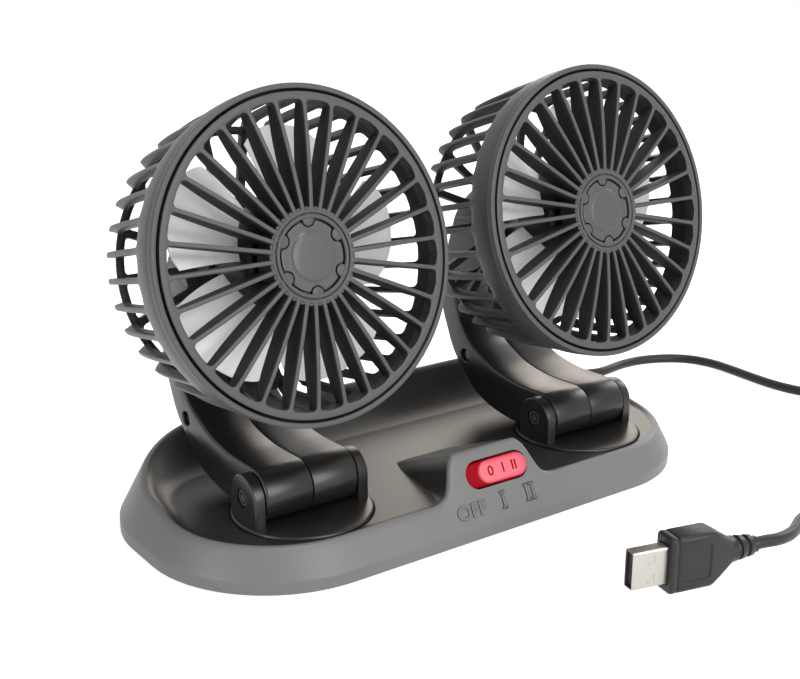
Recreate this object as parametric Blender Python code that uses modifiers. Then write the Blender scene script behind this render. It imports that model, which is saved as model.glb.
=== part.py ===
"""A dual head car fan: a dished base with two turntables, two tilting arms, two caged fan heads, a rocker
switch and a cord with a USB plug. Metres, +Z up. X runs along the base, Y to its back, and the origin is
on the table under the middle of the base."""

import math

import bmesh
import bpy
from mathutils import Matrix, Vector

# Clearances
GAP = 0.0003
OVERRUN = 0.003

# Base shell
BASE_LENGTH = 0.2083
BASE_DEPTH = 0.1041
BASE_CORNER_share = 0.43
BASE_CORNER_RADIUS = BASE_DEPTH * BASE_CORNER_share
FOOT_STANDOFF = 0.0010
BASE_FOOT_HEIGHT = 0.0040
WALL_LEAN_share = 0.525
WALL = 0.0020
FLOOR_HEIGHT = 0.0126
RIM_FRONT_HEIGHT = 0.0132
RIM_BACK_HEIGHT = 0.0262
RIM_RISE_POWER = 3
RIM_WIDTH = 0.0034
RIM_ROUNDING = 0.0012
RIM_CREST_share = 0.42
BOWL_RUN_share = 1.25
BOWL_CURVE_shares = ((0.34, 0.45), (0.67, 0.12))
CORNER_STEPS = 8
SIDE_STEPS = 2
BACK_STEPS = 3

# Control hump in the front rim
HUMP_HEIGHT = 0.0128
HUMP_HALF_WIDTH = 0.0250
HUMP_RAMP_RUN_share = 2.2
HUMP_shares = (
    (0.0, 1.0), (0.48, 0.99), (0.56, 0.92), (0.625, 0.80), (0.68, 0.58),
    (0.745, 0.30), (0.83, 0.09), (1.0, 0.0),
)

# Rocker switch, in the leaning face of the hump
SWITCH_X = 0.0018
SWITCH_UP = 0.0061
ROCKER_LENGTH = 0.0244
ROCKER_WIDTH = 0.0086
ROCKER_PROUD = 0.0009
ROCKER_DEPTH = 0.0050
ROCKER_TILT = math.radians(8)
ROCKER_SIDE_GAP = 0.0004
ROCKER_END_GAP = 0.0006
ROCKER_FACE_DIP = 0.0010
PIVOT_DEPTH = 0.0042
PIVOT_RADIUS = 0.0010
SWITCH_BODY_LENGTH = 0.0200
SWITCH_CHEEK = 0.0010
SWITCH_BODY_DEPTH = 0.0084
SWITCH_BODY_FLOOR = 0.0012
BOARD_LENGTH = 0.0360
BOARD_WIDTH = 0.0160
BOARD_THICKNESS = 0.0012
BOARD_POST_HEIGHT = 0.0018
BOARD_POST_RADIUS = 0.0018
BOARD_Y = -0.0250

# Bottom plate, feet and their screws
PLATE_THICKNESS = 0.0020
FOOT_RADIUS = 0.0055
FOOT_X_share = 0.33605
FOOT_Y_share = 0.32661
FOOT_X = BASE_LENGTH * FOOT_X_share
FOOT_Y = BASE_DEPTH * FOOT_Y_share
POST_RADIUS = 0.0032
POST_X = 0.0300
POST_Y_FRONT = -0.0080
POST_BACK_INSET = 0.02905
POST_Y_BACK = BASE_DEPTH / 2 - POST_BACK_INSET
SCREW_SHANK_RADIUS = 0.0010
SCREW_HEAD_RADIUS = 0.0021
SCREW_HEAD_HEIGHT = 0.0012
SCREW_LENGTH = 0.0075
SCREW_RECESS = 0.0003

# Turntables
HEAD_SPACING_share = 0.56841
TURNTABLE_Y_share = 0.21364
DISC_RADIUS_share = 0.21604
HEAD_SPACING = BASE_LENGTH * HEAD_SPACING_share
TURNTABLE_Y = -BASE_DEPTH * TURNTABLE_Y_share
DISC_RADIUS = BASE_DEPTH * DISC_RADIUS_share
DISC_THICKNESS = 0.0032
DISC_PROUD = 0.00094
DISC_CHAMFER = 0.0004
WELL_FLOOR = 0.0018
WELL_WALL = 0.0016
JOURNAL_RADIUS = 0.0070
WASHER_RADIUS = 0.0100
WASHER_THICKNESS = 0.0012
PIVOT_SCREW_LENGTH = 0.0040
PIVOT_SCREW_HEAD_RADIUS = 0.0030

# Ears and tilt hinge; places are measured from the turntable's axis and top
HINGE_BACK = 0.00119
HINGE_HEIGHT = 0.00778
EAR_INSET = 0.001865
EAR_THICKNESS = 0.0037
EAR_OUTER_WIDTH = 2 * (DISC_RADIUS - EAR_INSET)
EAR_RADIUS = 0.0076
EAR_FORWARD = 0.0004
EAR_STEPS = 8
BOLT_RADIUS = 0.0014
BOLT_HEAD_RADIUS = 0.0028
BOLT_HEAD_HEIGHT = 0.0018
NUT_RADIUS = 0.0030
NUT_THICKNESS = 0.0018
BOLT_SUNK = 0.0004

# Arms: reach and rise are measured from the hinge's axis
ARM_SIDE_GAP = 0.000325
ARM_WIDTH = EAR_OUTER_WIDTH - 2 * (EAR_THICKNESS + ARM_SIDE_GAP)
BARREL_RADIUS = 0.0085
ARM_REACH = 0.0600
ARM_WALL = 0.0026
POCKET_STEPS = 6
BARREL_END_ANGLE = math.radians(308.6)
BARREL_STEPS = 8
BOSS_BELOW = 0.0150
BACK_EDGE_shares = (
    (0.262, -0.090), (0.378, -0.081), (0.508, -0.059), (0.642, -0.012), (0.743, 0.062),
    (0.835, 0.135), (0.888, 0.198), (0.928, 0.268), (0.970, 0.344), (0.995, 0.421),
    (0.995, 0.515), (0.968, 0.623), (0.923, 0.745), (0.867, 0.879), (0.790, 1.057),
)
FRONT_EDGE_shares = (
    (0.647, 0.623), (0.747, 0.589), (0.817, 0.542), (0.840, 0.482), (0.830, 0.415),
    (0.802, 0.352), (0.750, 0.291), (0.670, 0.225), (0.572, 0.181), (0.443, 0.139),
    (0.268, 0.115), (0.118, 0.112),
)
ARM_SCREW_shares = (0.736, 0.155)
ARM_SCREW_LENGTH = 0.0140

# Heads: depths run back from the plane of the parting groove, along the head's axis
HEAD_RISE = 0.07414
HEAD_FORWARD = 0.00895
HEAD_TILT = math.radians(12.72)
HEAD_RADIUS = 0.0500
CAGE_DEPTH = 0.0453
CAGE_RIBS = 36
CAGE_RIB_WIDTH = 0.0017
CAGE_RIB_DEPTH = 0.0040
CAGE_BAND_WALL = 0.0026
CAGE_FRONT = 0.0011
CAGE_PLATE = 0.0025
CAGE_HUB_MARGIN = 0.0009
CAGE_HUB_RADIUS = ARM_WIDTH / 2 + CAGE_HUB_MARGIN
MOTOR_share = 0.3012
MOTOR_RADIUS = ARM_WIDTH * MOTOR_share
MOTOR_SEAT = 0.0010
CAGE_HUB_BORE = MOTOR_RADIUS - MOTOR_SEAT
HEAD_RIM_WIDTH = 0.0023
GRILLE_RADIUS = HEAD_RADIUS - HEAD_RIM_WIDTH
GROOVE = 0.0006
GRILLE_SPOKES = 30
GRILLE_SPOKE_WIDTH = 0.0015
GRILLE_RING_WIDTH = 0.0023
GRILLE_SEAT_DEPTH = 0.0030
GRILLE_HUB_RADIUS = 0.0145
GRILLE_HUB_DEPTH = 0.0050
GRILLE_PLATE = 0.0020
CAP_RADIUS = 0.0106
CAP_THICKNESS = 0.0020
CAP_NOTCHES = 6
CAP_NOTCH_RADIUS = 0.0019
CAP_DOME_RADIUS = 0.0074
CAP_DOME_HEIGHT = 0.0009

# Impellers and motors
IMPELLER_DEPTH = 0.0080
IMPELLER_HUB_RADIUS = 0.0140
IMPELLER_HUB_LENGTH = 0.0165
IMPELLER_WALL = 0.0016
IMPELLER_TIP_INSET = 0.0100
IMPELLER_TIP_RADIUS = HEAD_RADIUS - IMPELLER_TIP_INSET
BLADES = 5
BLADE_SWEEP = math.radians(62)
BLADE_HEIGHT = 0.0125
BLADE_THICKNESS = 0.0011
BLADE_CURVE_share = 0.10
MOTOR_LENGTH = 0.0240
SHAFT_RADIUS = 0.0010
SHAFT_LENGTH = 0.0125
SHAFT_GRIP = 0.0020
MOUNT_SCREW_INSET = 0.0023
MOUNT_SCREW_X = ARM_WIDTH / 2 - MOUNT_SCREW_INSET
MOUNT_SCREW_LENGTH = 0.0090

# Cord, plug and tie
CORD_DIAMETER = 0.0040
CORD_EXIT_X = 0.0300
CORD_EXIT_HEIGHT = 0.0068
RELIEF_LENGTH = 0.0120
RELIEF_FLANGE_RADIUS = 0.0042
RELIEF_NECK_RADIUS = 0.0030
RELIEF_END_RADIUS = 0.0027
RELIEF_INNER_FLANGE = 0.0015
COIL_CENTRE = (0.1840, -0.0740)
COIL_MID_DIAMETER = 0.0460
COIL_PITCH = 0.0052
COIL_LAYER = 0.0046
COIL_TURNS_DOWN = 2.5
COIL_TURNS_CLIMB = 0.5
COIL_TURNS_UP = 2.25
COIL_POINTS = 24
TIE_THICKNESS = 0.0007
TIE_WIDTH = 0.0040
PLUG_TIP = (0.0006, -0.1053)
PLUG_HEADING = math.radians(-13.5)
USB_SHELL_WIDTH = 0.0120
USB_SHELL_HEIGHT = 0.0045
USB_SHELL_LENGTH = 0.0120
USB_SHELL_WALL = 0.0004
USB_TONGUE_HEIGHT = 0.0019
PLUG_GRIP_WIDTH = 0.0180
PLUG_GRIP_HEIGHT = 0.0086
PLUG_GRIP_LENGTH = 0.0155
PLUG_TAPER_LENGTH = 0.0075
PLUG_BOOT_LENGTH = 0.0100
PLUG_BOOT_RADIUS = 0.0040
PLUG_BOOT_GROOVE = 0.0008
PLUG_SOCKET_DEPTH = 0.0040

# The cord's route where it isn't coiled, in metres, chosen by hand
LEAD_ROUTE = [
    (0.0306, 0.0725, 0.0072), (0.0345, 0.0795, 0.0050), (0.0430, 0.0855, 0.0026),
    (0.0580, 0.0865, 0.0020), (0.0760, 0.0800, 0.0020), (0.0930, 0.0695, 0.0020),
    (0.1100, 0.0590, 0.0020), (0.1260, 0.0505, 0.0020), (0.1400, 0.0460, 0.0020),
    (0.1547, 0.0479, 0.0020), (0.1672, 0.0473, 0.0020), (0.1788, 0.0426, 0.0020),
    (0.1871, 0.0347, 0.0020), (0.1906, 0.0228, 0.0020), (0.1899, 0.0079, 0.0020),
    (0.1888, -0.0068, 0.0020), (0.1898, -0.0191, 0.0021), (0.1940, -0.0320, 0.0023),
    (0.2010, -0.0450, 0.0025), (0.2085, -0.0560, 0.0028),
]
TAIL_ROUTE = [
    (0.1640, -0.1022, 0.0058), (0.1480, -0.1030, 0.0030), (0.1310, -0.1045, 0.0020),
    (0.1150, -0.1045, 0.0020), (0.1000, -0.1035, 0.0021), (0.0885, -0.1045, 0.0030),
    (0.0790, -0.1075, 0.0045), (0.0725, -0.1108, 0.0058), (0.0660, -0.1143, 0.0070),
    (0.0595, -0.1168, 0.0080), (0.0530, -0.1176, 0.0087),
]

UNDERSIDE = FOOT_STANDOFF
FLOOR_Z = UNDERSIDE + FLOOR_HEIGHT
DISC_TOP = FLOOR_Z + DISC_PROUD
HINGE_Z = DISC_TOP + HINGE_HEIGHT
HINGE_Y = TURNTABLE_Y + HINGE_BACK
SIDES = (("left", -1), ("right", 1))


# Scene and helpers

def clear_scene():
    for obj in list(bpy.data.objects):
        bpy.data.objects.remove(obj, do_unlink=True)


def collection(name, hidden=False):
    made = bpy.data.collections.new(name)
    bpy.context.scene.collection.children.link(made)
    made.hide_render = hidden
    return made


def material(name, colour, roughness, metallic=0.0, alpha=1.0):
    made = bpy.data.materials.new(name)
    made.use_nodes = True
    shader = made.node_tree.nodes["Principled BSDF"]
    shader.inputs["Base Color"].default_value = (*colour, 1.0)
    shader.inputs["Roughness"].default_value = roughness
    shader.inputs["Metallic"].default_value = metallic
    shader.inputs["Alpha"].default_value = alpha
    made.diffuse_color = (*colour, 1.0)
    return made


def add(name, data, look=None, parent=None):
    """An object in the part's collection, or in the cutters' where it has no material."""
    obj = bpy.data.objects.new(name, data)
    if look is None:
        CUTTERS.objects.link(obj)
        obj.hide_render = True
        obj.display_type = "WIRE"
    else:
        PARTS.objects.link(obj)
        data.materials.append(look)
    obj.parent = parent
    return obj


def empty(name, place, turn=0.0, parent=None):
    made = bpy.data.objects.new(name, None)
    PARTS.objects.link(made)
    made.location = place
    made.rotation_euler = (turn, 0, 0)
    made.parent = parent
    return made


def mesh_from(name, verts, faces):
    """A closed mesh with its faces turned outwards."""
    mesh = bpy.data.meshes.new(name)
    mesh.from_pydata([tuple(v) for v in verts], [], faces)
    work = bmesh.new()
    work.from_mesh(mesh)
    bmesh.ops.recalc_face_normals(work, faces=work.faces)
    work.to_mesh(mesh)
    work.free()
    return mesh


def smooth(obj, angle=math.radians(32)):
    obj.data.shade_smooth()
    obj.data.set_sharp_from_angle(angle=angle)
    return obj


def loft(name, rings):
    """A closed body through rings of equal point counts, with a flat face on the first and the last."""
    count = len(rings[0])
    verts = [point for ring in rings for point in ring]
    faces = [list(range(count)), [len(verts) - 1 - i for i in range(count)]]
    for row in range(len(rings) - 1):
        for i in range(count):
            j = (i + 1) % count
            faces.append([row * count + i, row * count + j, (row + 1) * count + j, (row + 1) * count + i])
    return mesh_from(name, verts, faces)


def prism(name, outline, low, high, plane="XY"):
    """An outline pushed from low to high: XY along Z, YZ along X."""
    if plane == "YZ":
        rings = [[(level, y, z) for y, z in outline] for level in (low, high)]
    else:
        rings = [[(x, y, level) for x, y in outline] for level in (low, high)]
    return loft(name, rings)


def turned(name, profile, steps, look=None, parent=None):
    """A profile of (radius, height) pairs, top to bottom, turned round Z by a Screw modifier. A profile
    that ends off the axis is closed into a ring."""
    mesh = bpy.data.meshes.new(name)
    points = [(radius, 0, height) for radius, height in profile]
    edges = [(i, i + 1) for i in range(len(points) - 1)]
    if profile[-1][0] > 0:
        edges.append((len(points) - 1, 0))
    mesh.from_pydata(points, edges, [])
    obj = add(name, mesh, look, parent)
    screw = obj.modifiers.new("turn", "SCREW")
    screw.steps = screw.render_steps = steps
    screw.use_merge_vertices = True
    screw.merge_threshold = 0.00001
    screw.use_smooth_shade = True
    return obj


def rod(name, radius, low, high, steps=12, look=None, parent=None):
    """A cylinder round Z from low to high."""
    work = bmesh.new()
    middle = Matrix.Translation((0, 0, (low + high) / 2))
    bmesh.ops.create_cone(work, cap_ends=True, segments=steps, radius1=radius, radius2=radius,
                          depth=high - low, matrix=middle)
    mesh = bpy.data.meshes.new(name)
    work.to_mesh(mesh)
    work.free()
    return add(name, mesh, look, parent)


def place(obj, location, rotation=(0, 0, 0)):
    obj.location = location
    obj.rotation_euler = rotation
    return obj


def boolean(obj, other, operation="DIFFERENCE"):
    modifier = obj.modifiers.new(operation.lower(), "BOOLEAN")
    modifier.operation = operation
    modifier.solver = "EXACT"
    modifier.object = other


def ring_points(radius, height, steps, start=0.0):
    angles = [start + math.tau * i / steps for i in range(steps)]
    return [(radius * math.cos(a), radius * math.sin(a), height) for a in angles]


def stadium(length, width, steps=6):
    """A pill outline, counterclockwise, with its long way along X."""
    radius = width / 2
    reach = length / 2 - radius
    points = []
    for side in (1, -1):
        for i in range(steps + 1):
            angle = math.pi * (i / steps - 0.5)
            points.append((side * (reach + radius * math.cos(angle)), side * radius * math.sin(angle)))
    return points


def box_outline(x_low, x_high, y_low, y_high):
    return [(x_low, y_low), (x_high, y_low), (x_high, y_high), (x_low, y_high)]


def screw_body(name, look, shank_radius, head_radius, head_height, length, parent=None, steps=6):
    """A pan head at the origin, its shank along +Z."""
    profile = [
        (0, length), (shank_radius, length), (shank_radius, 0),
        (head_radius, 0), (head_radius, -head_height), (0, -head_height),
    ]
    return turned(name, profile, steps, look, parent)


def ribbed_shell(name, stations, rib_count, rib_width, kinds, coarse_from_end=0):
    """A body of ribs between solid rings. A station is an outer and an inner (radius, height) pair, and a
    kind says what lies between one station and the next: band, ribs or half of the ribs. After the last
    station a plate closes it with two flat faces. The last stations can keep only half of the ribs' points."""
    columns = 2 * rib_count
    verts = []
    for outer, inner in stations:
        for radius, height in (outer, inner):
            lean = min(math.asin(min(rib_width / 2 / radius, 1.0)), 0.3 * math.tau / rib_count)
            for rib in range(rib_count):
                for side in (-1, 1):
                    angle = math.tau * rib / rib_count + side * lean
                    verts.append((radius * math.cos(angle), radius * math.sin(angle), height))

    def corners(station, layer, column):
        """The points of a station from a column's start to its end."""
        coarse = station >= len(stations) - coarse_from_end
        places = [column % columns, (column + 1) % columns]
        if coarse:
            places = [place for place in places if place % 4 < 2]
        return [(2 * station + layer) * columns + place for place in places]

    def present(step, column):
        if step < 0 or step >= len(stations) - 1:
            return False
        return {"band": True, "ribs": column % 2 == 0, "half": column % 4 == 0}[kinds[step]]

    def between(first, second):
        """The strips of faces that join two lines of points column by column."""
        made = {}
        for column in range(columns):
            if not first[1](column):
                continue
            group = column
            if first[2] or second[2]:
                group = column if column % 4 == 0 else column - column % 4 + 1
            made.setdefault(group, []).append(column)
        for group, members in made.items():
            near = []
            far = []
            for column in members:
                for index in corners(*first[0], column):
                    if index not in near:
                        near.append(index)
                for index in corners(*second[0], column):
                    if index not in far:
                        far.append(index)
            yield near + far[::-1]

    def is_coarse(station):
        return station >= len(stations) - coarse_from_end

    faces = []
    for step in range(len(stations) - 1):
        here = is_coarse(step)
        after = is_coarse(step + 1)
        for layer in (0, 1):
            faces += between(((step, layer), lambda column, step=step: present(step, column), here),
                             ((step + 1, layer), None, after))
        for column in range(columns):
            if present(step, column) != present(step, (column - 1) % columns):
                first = (2 * step * columns) + column
                second = first + 2 * columns
                faces.append([first, second, second + columns, first + columns])
    closed = len(kinds) == len(stations)
    for station in range(len(stations)):
        if closed and station == len(stations) - 1:
            continue

        def open_here(column, station=station):
            return present(station - 1, column) != present(station, column)

        here = is_coarse(station)
        faces += between(((station, 0), open_here, here), ((station, 1), None, here))
    if closed:
        last = 2 * (len(stations) - 1) * columns
        faces.append(list(range(last, last + columns)))
        faces.append(list(range(last + columns, last + 2 * columns)))
    used = sorted({index for face in faces for index in face})
    renumbered = {index: i for i, index in enumerate(used)}
    return mesh_from(name, [verts[i] for i in used], [[renumbered[i] for i in face] for face in faces])


# Base shell

def base_outline():
    """(point, outward normal, hump share) round the foot of the base, counterclockwise from the front."""
    half_x = BASE_LENGTH / 2 - BASE_CORNER_RADIUS
    half_y = BASE_DEPTH / 2 - BASE_CORNER_RADIUS
    points = []
    reach = [share * HUMP_HALF_WIDTH for share, _ in HUMP_shares]
    stops = [-half_x, -(half_x + HUMP_HALF_WIDTH) / 2] + [-x for x in reversed(reach)]
    stops += reach[1:] + [(half_x + HUMP_HALF_WIDTH) / 2]
    for x in stops[1:]:
        points.append(((x, -BASE_DEPTH / 2), (0, -1), hump_share(x)))

    def corner(centre, start):
        for i in range(CORNER_STEPS + 1):
            angle = start + math.pi / 2 * i / CORNER_STEPS
            normal = (math.cos(angle), math.sin(angle))
            point = [centre[k] + BASE_CORNER_RADIUS * normal[k] for k in (0, 1)]
            points.append((point, normal, 0.0))

    def side(start, end, normal, steps):
        for i in range(1, steps):
            point = [start[k] + (end[k] - start[k]) * i / steps for k in (0, 1)]
            points.append((point, normal, 0.0))

    corner((half_x, -half_y), -math.pi / 2)
    side((BASE_LENGTH / 2, -half_y), (BASE_LENGTH / 2, half_y), (1, 0), SIDE_STEPS)
    corner((half_x, half_y), 0)
    side((half_x, BASE_DEPTH / 2), (-half_x, BASE_DEPTH / 2), (0, 1), BACK_STEPS)
    corner((-half_x, half_y), math.pi / 2)
    side((-BASE_LENGTH / 2, half_y), (-BASE_LENGTH / 2, -half_y), (-1, 0), SIDE_STEPS)
    corner((-half_x, -half_y), math.pi)
    return points


def hump_share(x):
    """How high the hump stands at x, as a share of its height."""
    away = abs(x) / HUMP_HALF_WIDTH
    for (near, high), (far, low) in zip(HUMP_shares, HUMP_shares[1:]):
        if away <= far:
            return high + (low - high) * (away - near) / (far - near)
    return 0.0


def rim_height(y, hump):
    """Height of the rim above the underside: it rises to the back, and over the hump."""
    front = -BASE_DEPTH / 2 + wall_inset(RIM_FRONT_HEIGHT)
    back = BASE_DEPTH / 2 - wall_inset(RIM_BACK_HEIGHT)
    share = min(max((y - front) / (back - front), 0.0), 1.0)
    rise = (RIM_BACK_HEIGHT - RIM_FRONT_HEIGHT) * share**RIM_RISE_POWER
    return RIM_FRONT_HEIGHT + rise + HUMP_HEIGHT * hump


def wall_inset(height):
    """How far the leaning outer wall stands in from the foot at a height above the underside."""
    return max(height - BASE_FOOT_HEIGHT, 0.0) * WALL_LEAN_share


def shell_profile(point, normal, hump):
    """(inset, height) pairs from the foot's outside over the rim to the tray's floor, and back inside."""
    rim = RIM_FRONT_HEIGHT
    for _ in range(20):
        inset = wall_inset(rim - RIM_ROUNDING) + RIM_WIDTH / 2
        rim = rim_height(point[1] - normal[1] * inset, hump)
    shoulder = rim - RIM_ROUNDING
    edge = wall_inset(shoulder)
    outer = [(0.0, 0.0), (0.0, BASE_FOOT_HEIGHT), (edge, shoulder)]
    outer.append((edge + RIM_WIDTH * RIM_CREST_share, rim))
    inner_edge = edge + RIM_WIDTH
    lip = max(rim - RIM_ROUNDING * 0.75, FLOOR_HEIGHT)
    outer.append((inner_edge, lip))
    rise = max(lip - FLOOR_HEIGHT, 0.0)
    run = rise * (BOWL_RUN_share + (HUMP_RAMP_RUN_share - BOWL_RUN_share) * min(1.0, 1.6 * hump))
    run += RIM_WIDTH / 2
    straight = min(1.0, 1.6 * hump)
    for along, height in BOWL_CURVE_shares:
        level = height * (1 - straight) + (1 - along) * straight
        outer.append((inner_edge + run * along, FLOOR_HEIGHT + rise * level))
    outer.append((inner_edge + run, FLOOR_HEIGHT))
    drop = WALL * 1.3
    high = rim - WALL
    inner = [(WALL, 0.0), (WALL, BASE_FOOT_HEIGHT), (wall_inset(high) + WALL, high)]
    inner += [(inset, height - drop) for inset, height in (outer[-3], outer[-1])]
    return outer, inner


def base_cover(look):
    outline = base_outline()
    profiles = [shell_profile(point, normal, hump) for point, normal, hump in outline]

    def ring(which, index):
        made = []
        for (point, normal, _), pair in zip(outline, profiles):
            inset, height = pair[which][index]
            x = point[0] - normal[0] * inset
            made.append((x, point[1] - normal[1] * inset, UNDERSIDE + height))
        return made

    outer_count = len(profiles[0][0])
    inner_count = len(profiles[0][1])
    rings = [ring(0, i) for i in range(outer_count)]
    inside = [ring(1, i) for i in range(inner_count)]
    count = len(outline)
    verts = [p for r in rings + inside for p in r]
    faces = []

    def strip(first, second):
        for i in range(count):
            j = (i + 1) % count
            faces.append([first * count + i, first * count + j, second * count + j, second * count + i])

    for row in range(outer_count - 1):
        strip(row, row + 1)
    for row in range(inner_count - 1):
        strip(outer_count + row, outer_count + row + 1)
    strip(0, outer_count)
    faces.append([(outer_count - 1) * count + i for i in range(count)])
    faces.append([(outer_count + inner_count - 1) * count + i for i in range(count)])
    cover = add("base_cover", mesh_from("base_cover", verts, faces), look)

    disc_bottom = DISC_TOP - DISC_THICKNESS
    well_floor = disc_bottom - GAP
    well_under = well_floor - WELL_FLOOR
    for name, side in SIDES:
        spot = (side * HEAD_SPACING / 2, TURNTABLE_Y, 0)
        pad = rod(f"cut_pad_{name}", DISC_RADIUS + GAP + WELL_WALL, well_under, FLOOR_Z - WALL / 2, 32)
        boolean(cover, place(pad, spot), "UNION")
    for name, x, y in post_places():
        post = rod(f"cut_post_{name}", POST_RADIUS, plate_top() + GAP, FLOOR_Z - WALL / 2, 8)
        boolean(cover, place(post, (x, y, 0)), "UNION")
    for name, side in SIDES:
        spot = (side * HEAD_SPACING / 2, TURNTABLE_Y, 0)
        well = rod(f"cut_well_{name}", DISC_RADIUS + GAP, well_floor, DISC_TOP + OVERRUN, 36)
        boolean(cover, place(well, spot))
        bore = rod(f"cut_bore_{name}", JOURNAL_RADIUS + GAP, well_under - OVERRUN, well_floor + OVERRUN, 16)
        boolean(cover, place(bore, spot))
    for name, x, y in post_places():
        low = plate_top()
        bore = rod(f"cut_post_bore_{name}", SCREW_SHANK_RADIUS + GAP, low, low + SCREW_LENGTH, 8)
        boolean(cover, place(bore, (x, y, 0)))
    hole = rod("cut_cord_hole", RELIEF_NECK_RADIUS + GAP, -OVERRUN, 4 * OVERRUN, 12)
    place(hole, (CORD_EXIT_X, BASE_DEPTH / 2, UNDERSIDE + CORD_EXIT_HEIGHT), (math.pi / 2, 0, 0))
    boolean(cover, hole)
    window = prism("cut_switch_window", stadium(
        ROCKER_LENGTH + 2 * ROCKER_END_GAP, ROCKER_WIDTH + 2 * ROCKER_SIDE_GAP), -2 * OVERRUN, OVERRUN)
    boolean(cover, add("cut_switch_window", window, None, FACE))
    return smooth(cover)


def post_places():
    for x_name, x in (("left", -POST_X), ("right", POST_X)):
        for y_name, y in (("front", POST_Y_FRONT), ("back", POST_Y_BACK)):
            yield f"{x_name}_{y_name}", x, y


def plate_top():
    return UNDERSIDE + PLATE_THICKNESS


def base_plate(look):
    inset = WALL + GAP
    outline = [(p[0] - n[0] * inset, p[1] - n[1] * inset) for p, n, hump in base_outline() if hump == 0]
    plate = add("base_plate", prism("base_plate", outline, UNDERSIDE, plate_top()), look)
    for x in (-1, 1):
        for y in (-1, 1):
            spot = (SWITCH_X + x * (BOARD_LENGTH / 2 - BOARD_POST_RADIUS),
                    BOARD_Y + y * (BOARD_WIDTH / 2 - BOARD_POST_RADIUS), 0)
            high = plate_top() + BOARD_POST_HEIGHT
            post = rod(f"cut_board_post_{x}_{y}", BOARD_POST_RADIUS, UNDERSIDE + PLATE_THICKNESS / 2, high, 6)
            boolean(plate, place(post, spot), "UNION")
    for name, x, y in post_places():
        hole = rod(f"cut_plate_hole_{name}", SCREW_SHANK_RADIUS + GAP, 0, plate_top() + OVERRUN, 8)
        boolean(plate, place(hole, (x, y, 0)))
        sink_top = UNDERSIDE + SCREW_RECESS + SCREW_HEAD_HEIGHT
        sink = rod(f"cut_sink_{name}", SCREW_HEAD_RADIUS + GAP, 0, sink_top, 8)
        boolean(plate, place(sink, (x, y, 0)))
    return plate


def feet(look):
    for x_name, x in (("left", -FOOT_X), ("right", FOOT_X)):
        for y_name, y in (("front", -FOOT_Y), ("back", FOOT_Y)):
            foot = rod(f"foot_{x_name}_{y_name}", FOOT_RADIUS, 0, FOOT_STANDOFF - GAP, 14, look)
            smooth(place(foot, (x, y, 0)))


def base_screws(look):
    for name, x, y in post_places():
        screw = screw_body(f"base_screw_{name}", look, SCREW_SHANK_RADIUS, SCREW_HEAD_RADIUS,
                           SCREW_HEAD_HEIGHT, SCREW_LENGTH)
        place(screw, (x, y, UNDERSIDE + SCREW_RECESS + SCREW_HEAD_HEIGHT - GAP))


# Rocker switch and board

def face_frame():
    """An empty on the leaning front face of the hump: X along the base, Y up the face, Z out of it."""
    lean = math.atan(WALL_LEAN_share)
    up = SWITCH_UP + (RIM_FRONT_HEIGHT - BASE_FOOT_HEIGHT) / math.cos(lean)
    y = -BASE_DEPTH / 2 + up * math.sin(lean)
    z = UNDERSIDE + BASE_FOOT_HEIGHT + up * math.cos(lean)
    return empty("switch_face", (SWITCH_X, y, z), math.pi / 2 - lean)


def rocker(look):
    """The pill shaped rocker, pressed down at its OFF end, turning on trunnions behind the wall."""
    pivot = empty("rocker_pivot", (0, 0, -PIVOT_DEPTH), 0, FACE)
    pivot.rotation_euler = (0, -ROCKER_TILT, 0)
    top = PIVOT_DEPTH + ROCKER_PROUD
    bottom = top - ROCKER_DEPTH
    taper = 1 - 2 * ROCKER_SIDE_GAP / ROCKER_WIDTH
    rings = [[(x * taper, y * taper, bottom) for x, y in stadium(ROCKER_LENGTH, ROCKER_WIDTH)]]
    rings.append([(x, y, top - ROCKER_PROUD) for x, y in stadium(ROCKER_LENGTH, ROCKER_WIDTH)])
    for inset_share, drop_share in ((0.06, 0.25), (0.16, 0.0)):
        inset = ROCKER_WIDTH * inset_share
        ring = []
        for x, y in stadium(ROCKER_LENGTH - inset, ROCKER_WIDTH - inset):
            dip = ROCKER_FACE_DIP * (1 - (2 * x / ROCKER_LENGTH) ** 2)
            ring.append((x, y, top - ROCKER_PROUD * drop_share - dip / 4))
        rings.append(ring)
    obj = add("switch_rocker", loft("switch_rocker", rings), look, pivot)
    pin_reach = ROCKER_WIDTH / 2 + ROCKER_SIDE_GAP + SWITCH_CHEEK / 2
    pin = rod("cut_trunnion", PIVOT_RADIUS, -pin_reach, pin_reach, 8, None, pivot)
    place(pin, (0, 0, 0), (math.pi / 2, 0, 0))
    boolean(obj, pin, "UNION")
    return smooth(obj)


def switch_body(look):
    inner = ROCKER_WIDTH / 2 + ROCKER_SIDE_GAP
    outer = inner + SWITCH_CHEEK
    top = -(WALL + GAP / 2)
    half = SWITCH_BODY_LENGTH / 2
    body = add("switch_body", prism("switch_body", box_outline(-half, half, -outer, outer),
                                    -SWITCH_BODY_DEPTH, top), look, FACE)
    channel = prism("cut_channel", box_outline(-half - OVERRUN, half + OVERRUN, -inner, inner),
                    SWITCH_BODY_FLOOR - SWITCH_BODY_DEPTH, OVERRUN)
    boolean(body, add("cut_channel", channel, None, FACE))
    hole = rod("cut_trunnion_hole", PIVOT_RADIUS + GAP, -outer - OVERRUN, outer + OVERRUN, 8, None, FACE)
    boolean(body, place(hole, (0, 0, -PIVOT_DEPTH), (math.pi / 2, 0, 0)))
    return body


def circuit_board(look):
    low = plate_top() + BOARD_POST_HEIGHT + GAP
    outline = box_outline(-BOARD_LENGTH / 2, BOARD_LENGTH / 2, -BOARD_WIDTH / 2, BOARD_WIDTH / 2)
    board = add("circuit_board", prism("circuit_board", outline, low, low + BOARD_THICKNESS), look)
    return place(board, (SWITCH_X, BOARD_Y, 0))


# Turntable, hinge and arm of one side

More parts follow.
